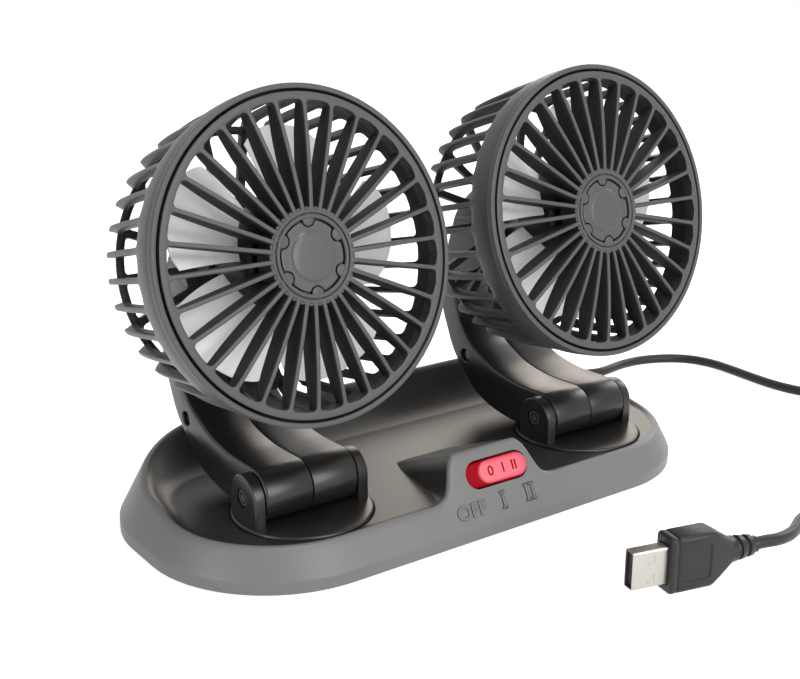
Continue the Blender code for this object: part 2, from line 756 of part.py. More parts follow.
def ear_outline():
    """The side view of an ear, about the hinge's axis: an arch on straight legs."""
    low = -HINGE_HEIGHT - DISC_THICKNESS / 2
    points = [(EAR_RADIUS - EAR_FORWARD, low)]
    for i in range(EAR_STEPS + 1):
        angle = math.pi * i / EAR_STEPS
        points.append((EAR_RADIUS * math.cos(angle) - EAR_FORWARD, EAR_RADIUS * math.sin(angle)))
    points.append((-EAR_RADIUS - EAR_FORWARD, low))
    return points


def turntable(name, yaw, look):
    rim = DISC_RADIUS - DISC_CHAMFER
    bottom = -DISC_THICKNESS
    journal_end = bottom - GAP - WELL_FLOOR + GAP / 2
    profile = [(0, 0), (rim, 0), (DISC_RADIUS, -DISC_CHAMFER), (DISC_RADIUS, bottom),
               (JOURNAL_RADIUS, bottom), (JOURNAL_RADIUS, journal_end), (0, journal_end)]
    table = turned(f"turntable_{name}", profile, 32, look, yaw)
    outer = EAR_OUTER_WIDTH / 2
    inner = outer - EAR_THICKNESS
    trough = rod(f"cut_trough_{name}", BARREL_RADIUS + GAP, -inner - GAP, inner + GAP, 30, None, yaw)
    place(trough, (0, HINGE_BACK, HINGE_HEIGHT), (0, math.pi / 2, 0))
    boolean(table, trough)
    for side in (-1, 1):
        low, high = sorted((side * inner, side * outer))
        ear = add(f"cut_ear_{name}_{side}", prism("ear", ear_outline(), low, high, "YZ"), None, yaw)
        place(ear, (0, HINGE_BACK, HINGE_HEIGHT))
        boolean(table, ear, "UNION")

    def across(label, radius, low, high, steps):
        cutter = rod(f"cut_{label}_{name}", radius, low, high, steps, None, yaw)
        place(cutter, (0, HINGE_BACK, HINGE_HEIGHT), (0, math.pi / 2, 0))
        boolean(table, cutter)

    across("bolt_hole", BOLT_RADIUS + GAP, -outer - OVERRUN, outer + OVERRUN, 10)
    across("nut_recess", NUT_RADIUS + GAP, -outer - OVERRUN, -outer + BOLT_SUNK + NUT_THICKNESS + GAP, 6)
    across("head_recess", BOLT_HEAD_RADIUS + GAP, outer - BOLT_SUNK - BOLT_HEAD_HEIGHT - GAP,
           outer + OVERRUN, 12)
    shank = rod(f"cut_pivot_{name}", SCREW_SHANK_RADIUS + GAP, journal_end - OVERRUN,
                journal_end + PIVOT_SCREW_LENGTH, 8, None, yaw)
    boolean(table, shank)

    top = -DISC_THICKNESS - GAP - WELL_FLOOR - GAP
    hole = SCREW_SHANK_RADIUS + GAP
    washer = [(hole, top), (WASHER_RADIUS, top), (WASHER_RADIUS, top - WASHER_THICKNESS),
              (hole, top - WASHER_THICKNESS)]
    turned(f"pivot_washer_{name}", washer, 12, look, yaw)
    head_top = top - WASHER_THICKNESS - GAP
    screw = screw_body(f"pivot_screw_{name}", STEEL, SCREW_SHANK_RADIUS, PIVOT_SCREW_HEAD_RADIUS,
                       SCREW_HEAD_HEIGHT, PIVOT_SCREW_LENGTH, yaw)
    place(screw, (0, 0, head_top))
    return smooth(table)


def hinge_bolt(name, yaw):
    """A pan head bolt across the ears, its nut on the left."""
    outer = EAR_OUTER_WIDTH / 2
    head_inside = outer - BOLT_SUNK - BOLT_HEAD_HEIGHT
    length = head_inside + outer - BOLT_SUNK
    bolt = screw_body(f"hinge_bolt_{name}", STEEL, BOLT_RADIUS, BOLT_HEAD_RADIUS, BOLT_HEAD_HEIGHT,
                      length, yaw, 8)
    place(bolt, (head_inside, HINGE_BACK, HINGE_HEIGHT), (0, -math.pi / 2, 0))
    low = -outer + BOLT_SUNK
    hole = BOLT_RADIUS + GAP
    ring_outer = ring_points(NUT_RADIUS, 0, 6, math.pi / 2)
    ring_inner = ring_points(hole, 0, 6, math.pi / 2)
    verts = [(x, y, z) for z in (low, low + NUT_THICKNESS) for x, y, _ in ring_outer + ring_inner]
    faces = []
    for i in range(6):
        j = (i + 1) % 6
        faces += [[i, j, j + 12, i + 12], [i + 6, j + 6, j + 18, i + 18],
                  [i, j, j + 6, i + 6], [i + 12, j + 12, j + 18, i + 18]]
    nut = add(f"hinge_nut_{name}", mesh_from("nut", verts, faces), STEEL, yaw)
    place(nut, (0, HINGE_BACK, HINGE_HEIGHT), (0, math.pi / 2, 0))


def head_point(depth, up):
    """(y, z) about the hinge of a point of the head's middle plane, by its depth and its way up."""
    back = (math.cos(HEAD_TILT), -math.sin(HEAD_TILT))
    rise = (math.sin(HEAD_TILT), math.cos(HEAD_TILT))
    y = -HEAD_FORWARD + back[0] * depth + rise[0] * up
    return (y, HEAD_RISE + back[1] * depth + rise[1] * up)


def arm_edges():
    """The arm's back edge from the barrel up, and its front edge from the head down, about the hinge."""
    back = [(y * ARM_REACH, z * HEAD_RISE) for y, z in BACK_EDGE_shares]
    front = [head_point(CAGE_DEPTH + GAP, ARM_WIDTH / 2), head_point(CAGE_DEPTH + GAP, -BOSS_BELOW)]
    front += [(y * ARM_REACH, z * HEAD_RISE) for y, z in FRONT_EDGE_shares]
    return back, front


def arm_outline():
    back, front = arm_edges()
    start = math.pi / 2
    barrel = []
    for i in range(BARREL_STEPS + 1):
        angle = start + (BARREL_END_ANGLE - start) * i / BARREL_STEPS
        barrel.append((BARREL_RADIUS * math.cos(angle), BARREL_RADIUS * math.sin(angle)))
    return barrel + back + front


def along_edge(points, share):
    """The point at a share of the length of a line of points."""
    steps = [math.dist(a, b) for a, b in zip(points, points[1:])]
    left = share * sum(steps)
    for (a, b), step in zip(zip(points, points[1:]), steps):
        if left <= step:
            return tuple(a[k] + (b[k] - a[k]) * left / step for k in (0, 1))
        left -= step
    return points[-1]


def pocket_outline():
    """The hollow in each arm shell: a band between its edges, clear of the barrel and of the head's boss."""
    back, front = arm_edges()
    front = list(reversed(front[3:]))
    back = back[:11]
    near, far = [], []
    for i in range(POCKET_STEPS + 1):
        share = 0.10 + 0.80 * i / POCKET_STEPS
        a = along_edge(back, share)
        b = along_edge(front, share)
        width = math.dist(a, b)
        inset = ARM_WALL / width
        near.append(tuple(a[k] + (b[k] - a[k]) * inset for k in (0, 1)))
        far.append(tuple(b[k] + (a[k] - b[k]) * inset for k in (0, 1)))
    return near + list(reversed(far))


def round_top(name, pitch):
    """What is left of the arm seen from the front: straight sides with a half round top on the head's axis."""
    radius = ARM_WIDTH / 2 + GAP / 2
    low = -2 * HEAD_RISE
    outline = [(-radius - OVERRUN, low), (radius + OVERRUN, low), (radius + OVERRUN, 0)]
    outline += [(radius * math.cos(a), radius * math.sin(a)) for a in [math.pi * i / 14 for i in range(15)]]
    outline.append((-radius - OVERRUN, 0))
    solid = add(f"cut_round_top_{name}", prism("round_top", outline, -2 * ARM_REACH, ARM_REACH), None, pitch)
    return place(solid, (0, -HEAD_FORWARD, HEAD_RISE), (math.pi / 2 - HEAD_TILT, 0, 0))


def arm(name, pitch, look):
    mask = round_top(name, pitch)
    screw_y = ARM_SCREW_shares[0] * ARM_REACH
    screw_z = ARM_SCREW_shares[1] * HEAD_RISE
    half = ARM_WIDTH / 2
    head_floor = half - 2 * SCREW_HEAD_HEIGHT
    for label, side in (("nut_half", -1), ("bolt_half", 1)):
        low, high = sorted((side * GAP / 2, side * half))
        shell = add(f"arm_{label}_{name}", prism("arm", arm_outline(), low, high, "YZ"), look, pitch)
        boolean(shell, mask, "INTERSECT")
        wall = half - ARM_WALL
        low, high = sorted((-side * OVERRUN, side * wall))
        pocket = add(f"cut_pocket_{label}_{name}", prism("pocket", pocket_outline(), low, high, "YZ"),
                     None, pitch)
        boolean(shell, pocket)
        if side < 0:
            pad_low, pad_high = -half + ARM_WALL / 2, -GAP / 2
        else:
            pad_low, pad_high = GAP / 2, half - ARM_WALL / 2
        pad = rod(f"cut_screw_pad_{label}_{name}", POST_RADIUS, pad_low, pad_high, 8, None, pitch)
        boolean(shell, place(pad, (0, screw_y, screw_z), (0, math.pi / 2, 0)), "UNION")
        bolt_bore = rod(f"cut_hinge_bore_{label}_{name}", BOLT_RADIUS + GAP, -half - OVERRUN,
                        half + OVERRUN, 10, None, pitch)
        boolean(shell, place(bolt_bore, (0, 0, 0), (0, math.pi / 2, 0)))
        shank_end = -head_floor + ARM_SCREW_LENGTH + GAP
        bore = rod(f"cut_screw_bore_{label}_{name}", SCREW_SHANK_RADIUS + GAP, -half - OVERRUN,
                   shank_end, 8, None, pitch)
        boolean(shell, place(bore, (0, screw_y, screw_z), (0, math.pi / 2, 0)))
        if side < 0:
            sink = rod(f"cut_screw_sink_{name}", SCREW_HEAD_RADIUS + GAP, -half - OVERRUN,
                       -head_floor + GAP, 10, None, pitch)
            boolean(shell, place(sink, (0, screw_y, screw_z), (0, math.pi / 2, 0)))
        y, z = head_point(CAGE_DEPTH + GAP, 0)
        mount = rod(f"cut_mount_bore_{label}_{name}", SCREW_SHANK_RADIUS + GAP, -MOUNT_SCREW_LENGTH,
                    OVERRUN, 8, None, pitch)
        place(mount, (side * MOUNT_SCREW_X, y, z), (math.pi / 2 - HEAD_TILT, 0, 0))
        boolean(shell, mount)
        smooth(shell)
    screw = screw_body(f"arm_screw_{name}", STEEL, SCREW_SHANK_RADIUS, SCREW_HEAD_RADIUS,
                       SCREW_HEAD_HEIGHT, ARM_SCREW_LENGTH - GAP, pitch, 8)
    place(screw, (-head_floor + GAP, screw_y, screw_z), (0, math.pi / 2, 0))


# Fan head of one side; in the head's frame Z runs out of its front, so a depth is a negative height

def rear_cage(name, head, look):
    wall = CAGE_BAND_WALL
    bore = GRILLE_RADIUS + GROOVE
    seat = GRILLE_SEAT_DEPTH + GAP
    r = HEAD_RADIUS
    ledge = r - wall - 0.24 * wall
    deep = CAGE_RIB_DEPTH
    profile_shares = ((0.946, 0.44), (0.926, 0.75))
    stations = [
        ((r, CAGE_FRONT), (bore, CAGE_FRONT)),
        ((r * 0.998, -CAGE_DEPTH * 0.11), (bore, -seat)),
        ((r * 0.978, -CAGE_DEPTH * 0.25), (ledge, -seat)),
    ]
    for radius_share, depth_share in profile_shares:
        outer = r * radius_share
        stations.append(((outer, -CAGE_DEPTH * depth_share), (outer - deep, -CAGE_DEPTH * depth_share)))
    stations += [
        ((r * 0.855, -CAGE_DEPTH * 0.925), (r * 0.80, -CAGE_DEPTH * 0.865)),
        ((r * 0.790, -CAGE_DEPTH * 0.970), (r * 0.755, -CAGE_DEPTH * 0.905)),
        ((CAGE_HUB_RADIUS, -CAGE_DEPTH), (CAGE_HUB_RADIUS, -CAGE_DEPTH + CAGE_PLATE)),
        ((CAGE_HUB_BORE, -CAGE_DEPTH), (CAGE_HUB_BORE, -CAGE_DEPTH + CAGE_PLATE)),
    ]
    kinds = ["band"] * 2 + ["ribs"] * 3 + ["band", "half", "band"]
    mesh = ribbed_shell("rear_cage", stations, CAGE_RIBS, CAGE_RIB_WIDTH, kinds, 3)
    cage = add(f"rear_cage_{name}", mesh, look, head)
    for side in (-1, 1):
        hole = rod(f"cut_cage_hole_{name}_{side}", SCREW_SHANK_RADIUS + GAP, -CAGE_DEPTH - OVERRUN,
                   -CAGE_DEPTH + CAGE_PLATE + OVERRUN / 2, 8, None, head)
        boolean(cage, place(hole, (side * MOUNT_SCREW_X, 0, 0)))
        screw = screw_body(f"mount_screw_{name}_{'b' if side > 0 else 'a'}", STEEL,
                           SCREW_SHANK_RADIUS, SCREW_HEAD_RADIUS, SCREW_HEAD_HEIGHT,
                           MOUNT_SCREW_LENGTH, head)
        top = -CAGE_DEPTH + CAGE_PLATE + GAP
        place(screw, (side * MOUNT_SCREW_X, 0, top), (math.pi, 0, 0))
    return smooth(cage)


def front_grille(name, head, look):
    r = GRILLE_RADIUS
    ring = r - GRILLE_RING_WIDTH
    front = CAGE_FRONT
    hub = GRILLE_HUB_RADIUS
    socket = CAP_RADIUS + GAP
    socket_floor = front - CAP_THICKNESS
    stations = [
        ((r, front), (r, -GRILLE_SEAT_DEPTH)),
        ((ring, front), (ring, -GRILLE_SEAT_DEPTH)),
        ((hub, front), (hub, -GRILLE_HUB_DEPTH)),
        ((socket, front), (socket, -GRILLE_HUB_DEPTH)),
        ((socket - GAP / 2, socket_floor - GAP), (socket - GAP, socket_floor - GAP - GRILLE_PLATE)),
    ]
    kinds = ["band", "ribs", "band", "band", "plate"]
    mesh = ribbed_shell("front_grille", stations, GRILLE_SPOKES, GRILLE_SPOKE_WIDTH, kinds)
    return smooth(add(f"front_grille_{name}", mesh, look, head))


def hub_cap(name, head, look):
    """A round cap with notches round its edge and a low dome in its middle."""
    outline = []
    for notch in range(CAP_NOTCHES):
        middle = math.tau * (notch + 0.5) / CAP_NOTCHES
        half = 2 * math.asin(CAP_NOTCH_RADIUS / 2 / CAP_RADIUS)
        previous = middle - math.tau / CAP_NOTCHES
        for i in range(3):
            angle = previous + half + (middle - previous - 2 * half) * i / 2
            outline.append((CAP_RADIUS * math.cos(angle), CAP_RADIUS * math.sin(angle)))
        centre = (CAP_RADIUS * math.cos(middle), CAP_RADIUS * math.sin(middle))
        turn = math.pi / 2 - half / 2
        for i in range(1, 3):
            angle = middle + math.pi + turn - 2 * turn * i / 3
            outline.append((centre[0] + CAP_NOTCH_RADIUS * math.cos(angle),
                            centre[1] + CAP_NOTCH_RADIUS * math.sin(angle)))
    low = CAGE_FRONT - CAP_THICKNESS
    high = CAGE_FRONT + GAP

    def circle(radius, height):
        return [(radius * x / math.hypot(x, y), radius * y / math.hypot(x, y), height) for x, y in outline]

    rings = [[(x, y, low) for x, y in outline], [(x, y, high) for x, y in outline]]
    rings += [circle(CAP_DOME_RADIUS, high), circle(CAP_DOME_RADIUS * 0.8, high + CAP_DOME_HEIGHT)]
    return smooth(add(f"hub_cap_{name}", loft("hub_cap", rings), look, head))


def impeller(name, head, look):
    spin = empty(f"spin_{name}", (0, 0, 0), 0, head)
    top = -IMPELLER_DEPTH
    low = top - IMPELLER_HUB_LENGTH
    inner = IMPELLER_HUB_RADIUS - IMPELLER_WALL
    ceiling = top - IMPELLER_WALL - SHAFT_GRIP
    bore = SHAFT_RADIUS + GAP
    profile = [
        (0, top), (IMPELLER_HUB_RADIUS, top), (IMPELLER_HUB_RADIUS, low), (inner, low), (inner, ceiling),
        (bore, ceiling), (bore, top - IMPELLER_WALL / 2), (0, top - IMPELLER_WALL / 2),
    ]
    hub = turned(f"impeller_{name}", profile, 24, look, spin)
    verts, faces = [], []
    radial_steps, chord_steps = 2, 3
    root = IMPELLER_HUB_RADIUS - IMPELLER_WALL / 2
    mid = (top + low) / 2
    for blade in range(BLADES):
        base = len(verts)
        for layer in (1, -1):
            for i in range(radial_steps + 1):
                out = i / radial_steps
                radius = root + (IMPELLER_TIP_RADIUS - root) * out
                sweep = BLADE_SWEEP * (1 - 0.12 * out)
                for j in range(chord_steps + 1):
                    chord = j / chord_steps - 0.5
                    round_off = 1 - 0.10 * abs(2 * chord) ** 3 * out
                    angle = math.tau * blade / BLADES + chord * sweep + 0.12 * out
                    camber = BLADE_CURVE_share * (1 - 4 * chord * chord)
                    height = mid + BLADE_HEIGHT * (chord * (1 - 0.25 * out) + camber)
                    height += layer * BLADE_THICKNESS / 2
                    r = radius * round_off
                    verts.append((r * math.cos(angle), r * math.sin(angle), height))
        size = (radial_steps + 1) * (chord_steps + 1)
        across = chord_steps + 1

        def at(layer, i, j):
            return base + layer * size + i * across + j

        for layer in (0, 1):
            for i in range(radial_steps):
                for j in range(chord_steps):
                    faces.append([at(layer, i, j), at(layer, i + 1, j), at(layer, i + 1, j + 1),
                                  at(layer, i, j + 1)])
        for i in range(radial_steps):
            for j in (0, chord_steps):
                faces.append([at(0, i, j), at(0, i + 1, j), at(1, i + 1, j), at(1, i, j)])
        for j in range(chord_steps):
            for i in (0, radial_steps):
                faces.append([at(0, i, j), at(0, i, j + 1), at(1, i, j + 1), at(1, i, j)])
    blades = add(f"cut_blades_{name}", mesh_from("blades", verts, faces), None, spin)
    boolean(hub, blades, "UNION")
    shaft_top = top - IMPELLER_WALL / 2 - GAP
    rod(f"motor_shaft_{name}", SHAFT_RADIUS, shaft_top - SHAFT_LENGTH, shaft_top, 8, STEEL, spin)
    return hub


def motor(name, head, look):
    shaft_top = -IMPELLER_DEPTH - IMPELLER_WALL / 2 - GAP
    bore_end = shaft_top - SHAFT_LENGTH - GAP
    low = -CAGE_DEPTH + CAGE_PLATE + GAP
    top = low + MOTOR_LENGTH
    bore = SHAFT_RADIUS + GAP
    edge = MOTOR_RADIUS / 10
    profile = [(bore, top), (MOTOR_RADIUS - edge, top), (MOTOR_RADIUS, top - edge), (MOTOR_RADIUS, low),
               (0, low)]
    profile = [(0, bore_end), (bore, bore_end)] + profile
    return smooth(turned(f"motor_{name}", profile, 16, look, head))


# Cord, plug and tie

def route(points, per_step):
    """A smooth line of points through the chosen ones (a Catmull-Rom spline)."""
    spots = [Vector(p) for p in points]
    spots = [2 * spots[0] - spots[1]] + spots + [2 * spots[-1] - spots[-2]]
    made = [spots[1].copy()]
    for a, b, c, d in zip(spots, spots[1:], spots[2:], spots[3:]):
        steps = max(1, round((c - b).length / per_step))
        for i in range(1, steps + 1):
            t = i / steps
            made.append(0.5 * ((2 * b) + (c - a) * t + (2 * a - 5 * b + 4 * c - d) * t * t
                               + (3 * b - a - 3 * c + d) * t * t * t))
    return made


def tube(name, points, look, resolution):
    curve = bpy.data.curves.new(name, "CURVE")
    curve.dimensions = "3D"
    curve.bevel_depth = CORD_DIAMETER / 2
    curve.bevel_resolution = resolution
    curve.use_fill_caps = True
    spline = curve.splines.new("POLY")
    spline.points.add(len(points) - 1)
    for spot, point in zip(spline.points, points):
        spot.co = (*point, 1.0)
    return add(name, curve, look)


def coil_points():
    """One unbroken winding: in along the lower layer, up a layer where the spiral turns, and out again."""
    down, climb, up = COIL_TURNS_DOWN, COIL_TURNS_CLIMB, COIL_TURNS_UP
    inner = COIL_MID_DIAMETER / 2 - COIL_PITCH * down / 2
    low = CORD_DIAMETER / 2 + TIE_THICKNESS + GAP
    count = round((down + climb + up) * COIL_POINTS)
    points = []
    for i in range(count + 1):
        turn = i / COIL_POINTS
        radius = inner + COIL_PITCH * (max(down - turn, 0.0) + max(turn - down - climb, 0.0))
        rise = min(max((turn - down) / climb, 0.0), 1.0)
        rise = rise * rise * (3 - 2 * rise)
        angle = -math.tau * turn
        points.append(Vector((COIL_CENTRE[0] + radius * math.cos(angle),
                              COIL_CENTRE[1] + radius * math.sin(angle), low + COIL_LAYER * rise)))
    return points


def least_gap(points):
    """The least distance between turns of the coil, surface to surface."""
    least = math.inf
    for i, a in enumerate(points):
        for j in range(i + COIL_POINTS // 2, len(points) - 1):
            b, c = points[j], points[j + 1]
            share = min(max((a - b).dot(c - b) / (c - b).length_squared, 0.0), 1.0)
            least = min(least, (a - b - (c - b) * share).length)
    return least - CORD_DIAMETER


def length_of(points):
    return sum((b - a).length for a, b in zip(points, points[1:]))


def plug_frame():
    """An empty at the plug's tip: X runs back along the plug, and its wide way stands upright."""
    made = empty("plug_axis", (*PLUG_TIP, PLUG_GRIP_WIDTH / 2))
    made.rotation_euler = (0, 0, PLUG_HEADING)
    return made


def on_plug(back):
    """The world place of a point on the plug's axis."""
    return Vector((PLUG_TIP[0] + back * math.cos(PLUG_HEADING),
                   PLUG_TIP[1] + back * math.sin(PLUG_HEADING), PLUG_GRIP_WIDTH / 2))


def cords(look):
    coil = coil_points()
    gap = least_gap(coil)
    exit_end = Vector((CORD_EXIT_X, relief_end_y() + GAP, UNDERSIDE + CORD_EXIT_HEIGHT))
    step = CORD_DIAMETER * 2.8
    reach = CORD_DIAMETER
    entry = (coil[0] - coil[1]).normalized()
    leave = (coil[-1] - coil[-2]).normalized()
    meet = coil[0] + entry * GAP
    start = [exit_end, exit_end + Vector((0, reach, 0))]
    lead = route(start + LEAD_ROUTE + [meet + entry * reach, meet], step)
    boot = on_plug(plug_length() + GAP)
    away = (on_plug(plug_length()) - on_plug(0)).normalized()
    part_from = coil[-1] + leave * GAP
    tail = route([part_from, part_from + leave * reach] + TAIL_ROUTE + [boot + away * reach, boot], step)
    tube("cord_lead", lead, look, 2)
    tube("cord_coil", coil, look, 1)
    tube("cord_tail", tail, look, 2)
    total = length_of(lead) + length_of(coil) + length_of(tail)
    print(f"coil least gap {gap * 1000:.2f} mm, cord length {total:.4f} m: lead {length_of(lead):.4f},"
          f" coil {length_of(coil):.4f}, tail {length_of(tail):.4f}")


def relief_end_y():
    return BASE_DEPTH / 2 + GAP + RELIEF_LENGTH


def strain_relief(look):
    """A tapered sleeve in the back wall: a flange inside, a neck through the hole and a tapering end."""
    wall_inner = wall_inset(CORD_EXIT_HEIGHT + RELIEF_FLANGE_RADIUS) + WALL
    neck_start = -wall_inner - 2 * GAP
    y = BASE_DEPTH / 2
    z = UNDERSIDE + CORD_EXIT_HEIGHT
    flange = RELIEF_FLANGE_RADIUS
    groove = (flange - RELIEF_END_RADIUS) / 3
    profile = [(0, RELIEF_LENGTH), (RELIEF_END_RADIUS, RELIEF_LENGTH)]
    rings = 3
    for i in range(rings):
        near = 1 - (i + 0.5) / (rings + 0.5)
        radius = RELIEF_END_RADIUS + (flange - RELIEF_END_RADIUS) * (1 - near)
        profile.append((radius, RELIEF_LENGTH * (near + 0.05)))
        profile.append((radius - groove, RELIEF_LENGTH * (near - 0.03)))
    profile += [(flange, RELIEF_LENGTH * 0.06), (flange, 0), (RELIEF_NECK_RADIUS, 0),
                (RELIEF_NECK_RADIUS, neck_start), (flange, neck_start),
                (flange, neck_start - RELIEF_INNER_FLANGE), (0, neck_start - RELIEF_INNER_FLANGE)]
    sleeve = turned("strain_relief", profile, 12, look)
    return place(sleeve, (CORD_EXIT_X, y + GAP, z), (-math.pi / 2, 0, 0))


def plug_length():
    return USB_SHELL_LENGTH + PLUG_GRIP_LENGTH + PLUG_TAPER_LENGTH + PLUG_BOOT_LENGTH


def rounded_box(width, height, radius, steps=2):
    """Points round a box with rounded corners, in a section across the plug's axis."""
    points = []
    for corner, (sy, sz) in enumerate(((1, 1), (-1, 1), (-1, -1), (1, -1))):
        for i in range(steps + 1):
            angle = math.pi / 2 * (corner + i / steps)
            y = sy * (height / 2 - radius) + radius * math.cos(angle)
            points.append((y, sz * (width / 2 - radius) + radius * math.sin(angle)))
    return points


def usb_plug(grip_look, shell_look, tongue_look):
    axis = plug_frame()
    start = USB_SHELL_LENGTH
    corner = PLUG_GRIP_HEIGHT / 8
    chamfer = corner / 2

    def section(x, width, height, radius):
        return [(x, y, z) for y, z in rounded_box(width, height, radius)]

    rings = [section(start, PLUG_GRIP_WIDTH - 2 * chamfer, PLUG_GRIP_HEIGHT - 2 * chamfer, corner)]
    rings.append(section(start + chamfer, PLUG_GRIP_WIDTH, PLUG_GRIP_HEIGHT, corner))
    end = start + PLUG_GRIP_LENGTH
    rings.append(section(end, PLUG_GRIP_WIDTH, PLUG_GRIP_HEIGHT, corner))
    end += PLUG_TAPER_LENGTH
    boot = 2 * PLUG_BOOT_RADIUS
    round_corner = PLUG_BOOT_RADIUS * 0.99
    rings.append(section(end, boot, boot, round_corner))
    pieces = 3
    for i in range(pieces):
        near = end + PLUG_BOOT_LENGTH * (i + 0.62) / pieces
        far = end + PLUG_BOOT_LENGTH * (i + 1) / pieces
        size = boot * (1 - 0.09 * i)
        rings.append(section(near, size, size, size / 2 * 0.99))
        if i < pieces - 1:
            slim = size - 2 * PLUG_BOOT_GROOVE
            rings.append(section(near + (far - near) * 0.15, slim, slim, slim / 2 * 0.99))
            rings.append(section(near + (far - near) * 0.85, slim, slim, slim / 2 * 0.99))
            rings.append(section(far, size * 0.96, size * 0.96, size / 2 * 0.95))
        else:
            rings.append(section(far, size * 0.90, size * 0.90, size / 2 * 0.89))
    grip = add("usb_grip", loft("usb_grip", rings), grip_look, axis)
    socket_rings = [section(x, USB_SHELL_WIDTH + 2 * GAP, USB_SHELL_HEIGHT + 2 * GAP, corner)
                    for x in (start - OVERRUN, start + PLUG_SOCKET_DEPTH + GAP)]
    boolean(grip, add("cut_plug_socket", loft("plug_socket", socket_rings), None, axis))
    smooth(grip)

    radius = USB_SHELL_HEIGHT / 8
    shell_rings = [section(x, USB_SHELL_WIDTH, USB_SHELL_HEIGHT, radius)
                   for x in (0, start + PLUG_SOCKET_DEPTH)]
    shell = add("usb_shell", loft("usb_shell", shell_rings), shell_look, axis)
    inner_width = USB_SHELL_WIDTH - 2 * USB_SHELL_WALL
    inner_height = USB_SHELL_HEIGHT - 2 * USB_SHELL_WALL
    mouth_rings = [section(x, inner_width, inner_height, radius / 2) for x in (-OVERRUN, start)]
    boolean(shell, add("cut_usb_mouth", loft("usb_mouth", mouth_rings), None, axis))
    window = USB_SHELL_WIDTH / 5
    for side in (-1, 1):
        low = side * USB_SHELL_WIDTH / 4 - window / 2
        outline = box_outline(start * 0.42, start * 0.42 + window, low, low + window)
        hole = [[(x, y, z) for x, z in outline] for y in (-USB_SHELL_HEIGHT, -inner_height / 4)]
        boolean(shell, add(f"cut_usb_window_{side}", loft("usb_window", hole), None, axis))
    smooth(shell)

    tongue_y = inner_height / 2 - GAP
    tongue_rings = [[(x, y, z) for y, z in (
        (tongue_y - USB_TONGUE_HEIGHT, -inner_width / 2 + GAP), (tongue_y, -inner_width / 2 + GAP),
        (tongue_y, inner_width / 2 - GAP), (tongue_y - USB_TONGUE_HEIGHT, inner_width / 2 - GAP))]
        for x in (start / 12, start - GAP)]
    add("usb_tongue", loft("usb_tongue", tongue_rings), tongue_look, axis)


def coil_crossings():
    """(radius, height) of each turn of the coil where it passes the side that faces the fan."""
    half_turn = COIL_POINTS // 2
    made = []
    for point in coil_points()[half_turn::COIL_POINTS]:
        made.append((math.dist(point[:2], COIL_CENTRE), point[2]))
    return made


def around(centres, radius, steps=12):
    """The outline that hugs circles of one radius from outside."""
    reach = radius / math.cos(math.pi / steps)
    points = []
    for i in range(steps):
        angle = math.tau * i / steps
        x, z = max(centres, key=lambda c: c[0] * math.cos(angle) + c[1] * math.sin(angle))
        points.append((x + reach * math.cos(angle), z + reach * math.sin(angle)))
    return points


def cord_tie(look):
    """A flat band pulled round the coil's turns, at the side of the coil that faces the fan."""
    crossings = coil_crossings()
    inner = [(x, max(z, TIE_THICKNESS)) for x, z in around(crossings, CORD_DIAMETER / 2 + GAP)]
    outer = [(x, max(z, 0)) for x, z in around(crossings, CORD_DIAMETER / 2 + GAP + TIE_THICKNESS)]
    count = len(inner)
    verts = [(-x, y, z) for y in (-TIE_WIDTH / 2, TIE_WIDTH / 2) for x, z in outer + inner]
    faces = []
    for i in range(count):
        j = (i + 1) % count
        a, b, c, d = i, j, j + 2 * count, i + 2 * count
        faces += [[a, b, c, d], [a + count, b + count, c + count, d + count],
                  [a, b, b + count, a + count], [d, c, c + count, d + count]]
    tie = add("cord_tie", mesh_from("cord_tie", verts, faces), look)
    return place(tie, (*COIL_CENTRE, 0))


clear_scene()
PARTS = collection("dual_head_car_fan")
CUTTERS = collection("cutters", hidden=True)
GREY = material("head_grey_plastic", (0.135, 0.138, 0.142), 0.45)
SHELL = material("base_grey_plastic", (0.150, 0.152, 0.156), 0.38)
DARK = material("arm_dark_plastic", (0.060, 0.058, 0.056), 0.25)
BLACK = material("black_plastic", (0.012, 0.012, 0.013), 0.45)
RUBBER = material("foot_rubber", (0.015, 0.015, 0.015), 0.80)
RED = material("rocker_red_plastic", (0.75, 0.07, 0.11), 0.20)
WHITE = material("impeller_white_plastic", (0.78, 0.78, 0.78), 0.30)
STEEL = material("screw_steel", (0.45, 0.45, 0.46), 0.35, 1.0)
MOTOR = material("motor_steel", (0.30, 0.30, 0.31), 0.40, 1.0)
NICKEL = material("usb_nickel", (0.72, 0.70, 0.66), 0.28, 1.0)
CORD = material("cord_rubber", (0.055, 0.055, 0.058), 0.50)
BOARD = material("board_green", (0.02, 0.12, 0.05), 0.50)

FACE = face_frame()
base_cover(SHELL)
base_plate(BLACK)
feet(RUBBER)
base_screws(STEEL)
rocker(RED)
switch_body(BLACK)
circuit_board(BOARD)
for side_name, side_sign in SIDES:
    yaw_axis = empty(f"yaw_{side_name}", (side_sign * HEAD_SPACING / 2, TURNTABLE_Y, DISC_TOP))
    turntable(side_name, yaw_axis, DARK)
    hinge_bolt(side_name, yaw_axis)
    pitch_axis = empty(f"pitch_{side_name}", (0, HINGE_BACK, HINGE_HEIGHT), 0, yaw_axis)
    arm(side_name, pitch_axis, DARK)
    head_axis = empty(f"head_{side_name}", (0, -HEAD_FORWARD, HEAD_RISE), math.pi / 2 - HEAD_TILT, pitch_axis)
    rear_cage(side_name, head_axis, GREY)
    front_grille(side_name, head_axis, GREY)
    hub_cap(side_name, head_axis, GREY)
    impeller(side_name, head_axis, WHITE)
    motor(side_name, head_axis, MOTOR)
strain_relief(CORD)
cords(CORD)
cord_tie(BLACK)
usb_plug(BLACK, NICKEL, BLACK)
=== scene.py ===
"""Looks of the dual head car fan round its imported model: detailed pieces, materials, light and camera.
Meshes are made in millimetres and scaled to metres when they become pieces."""

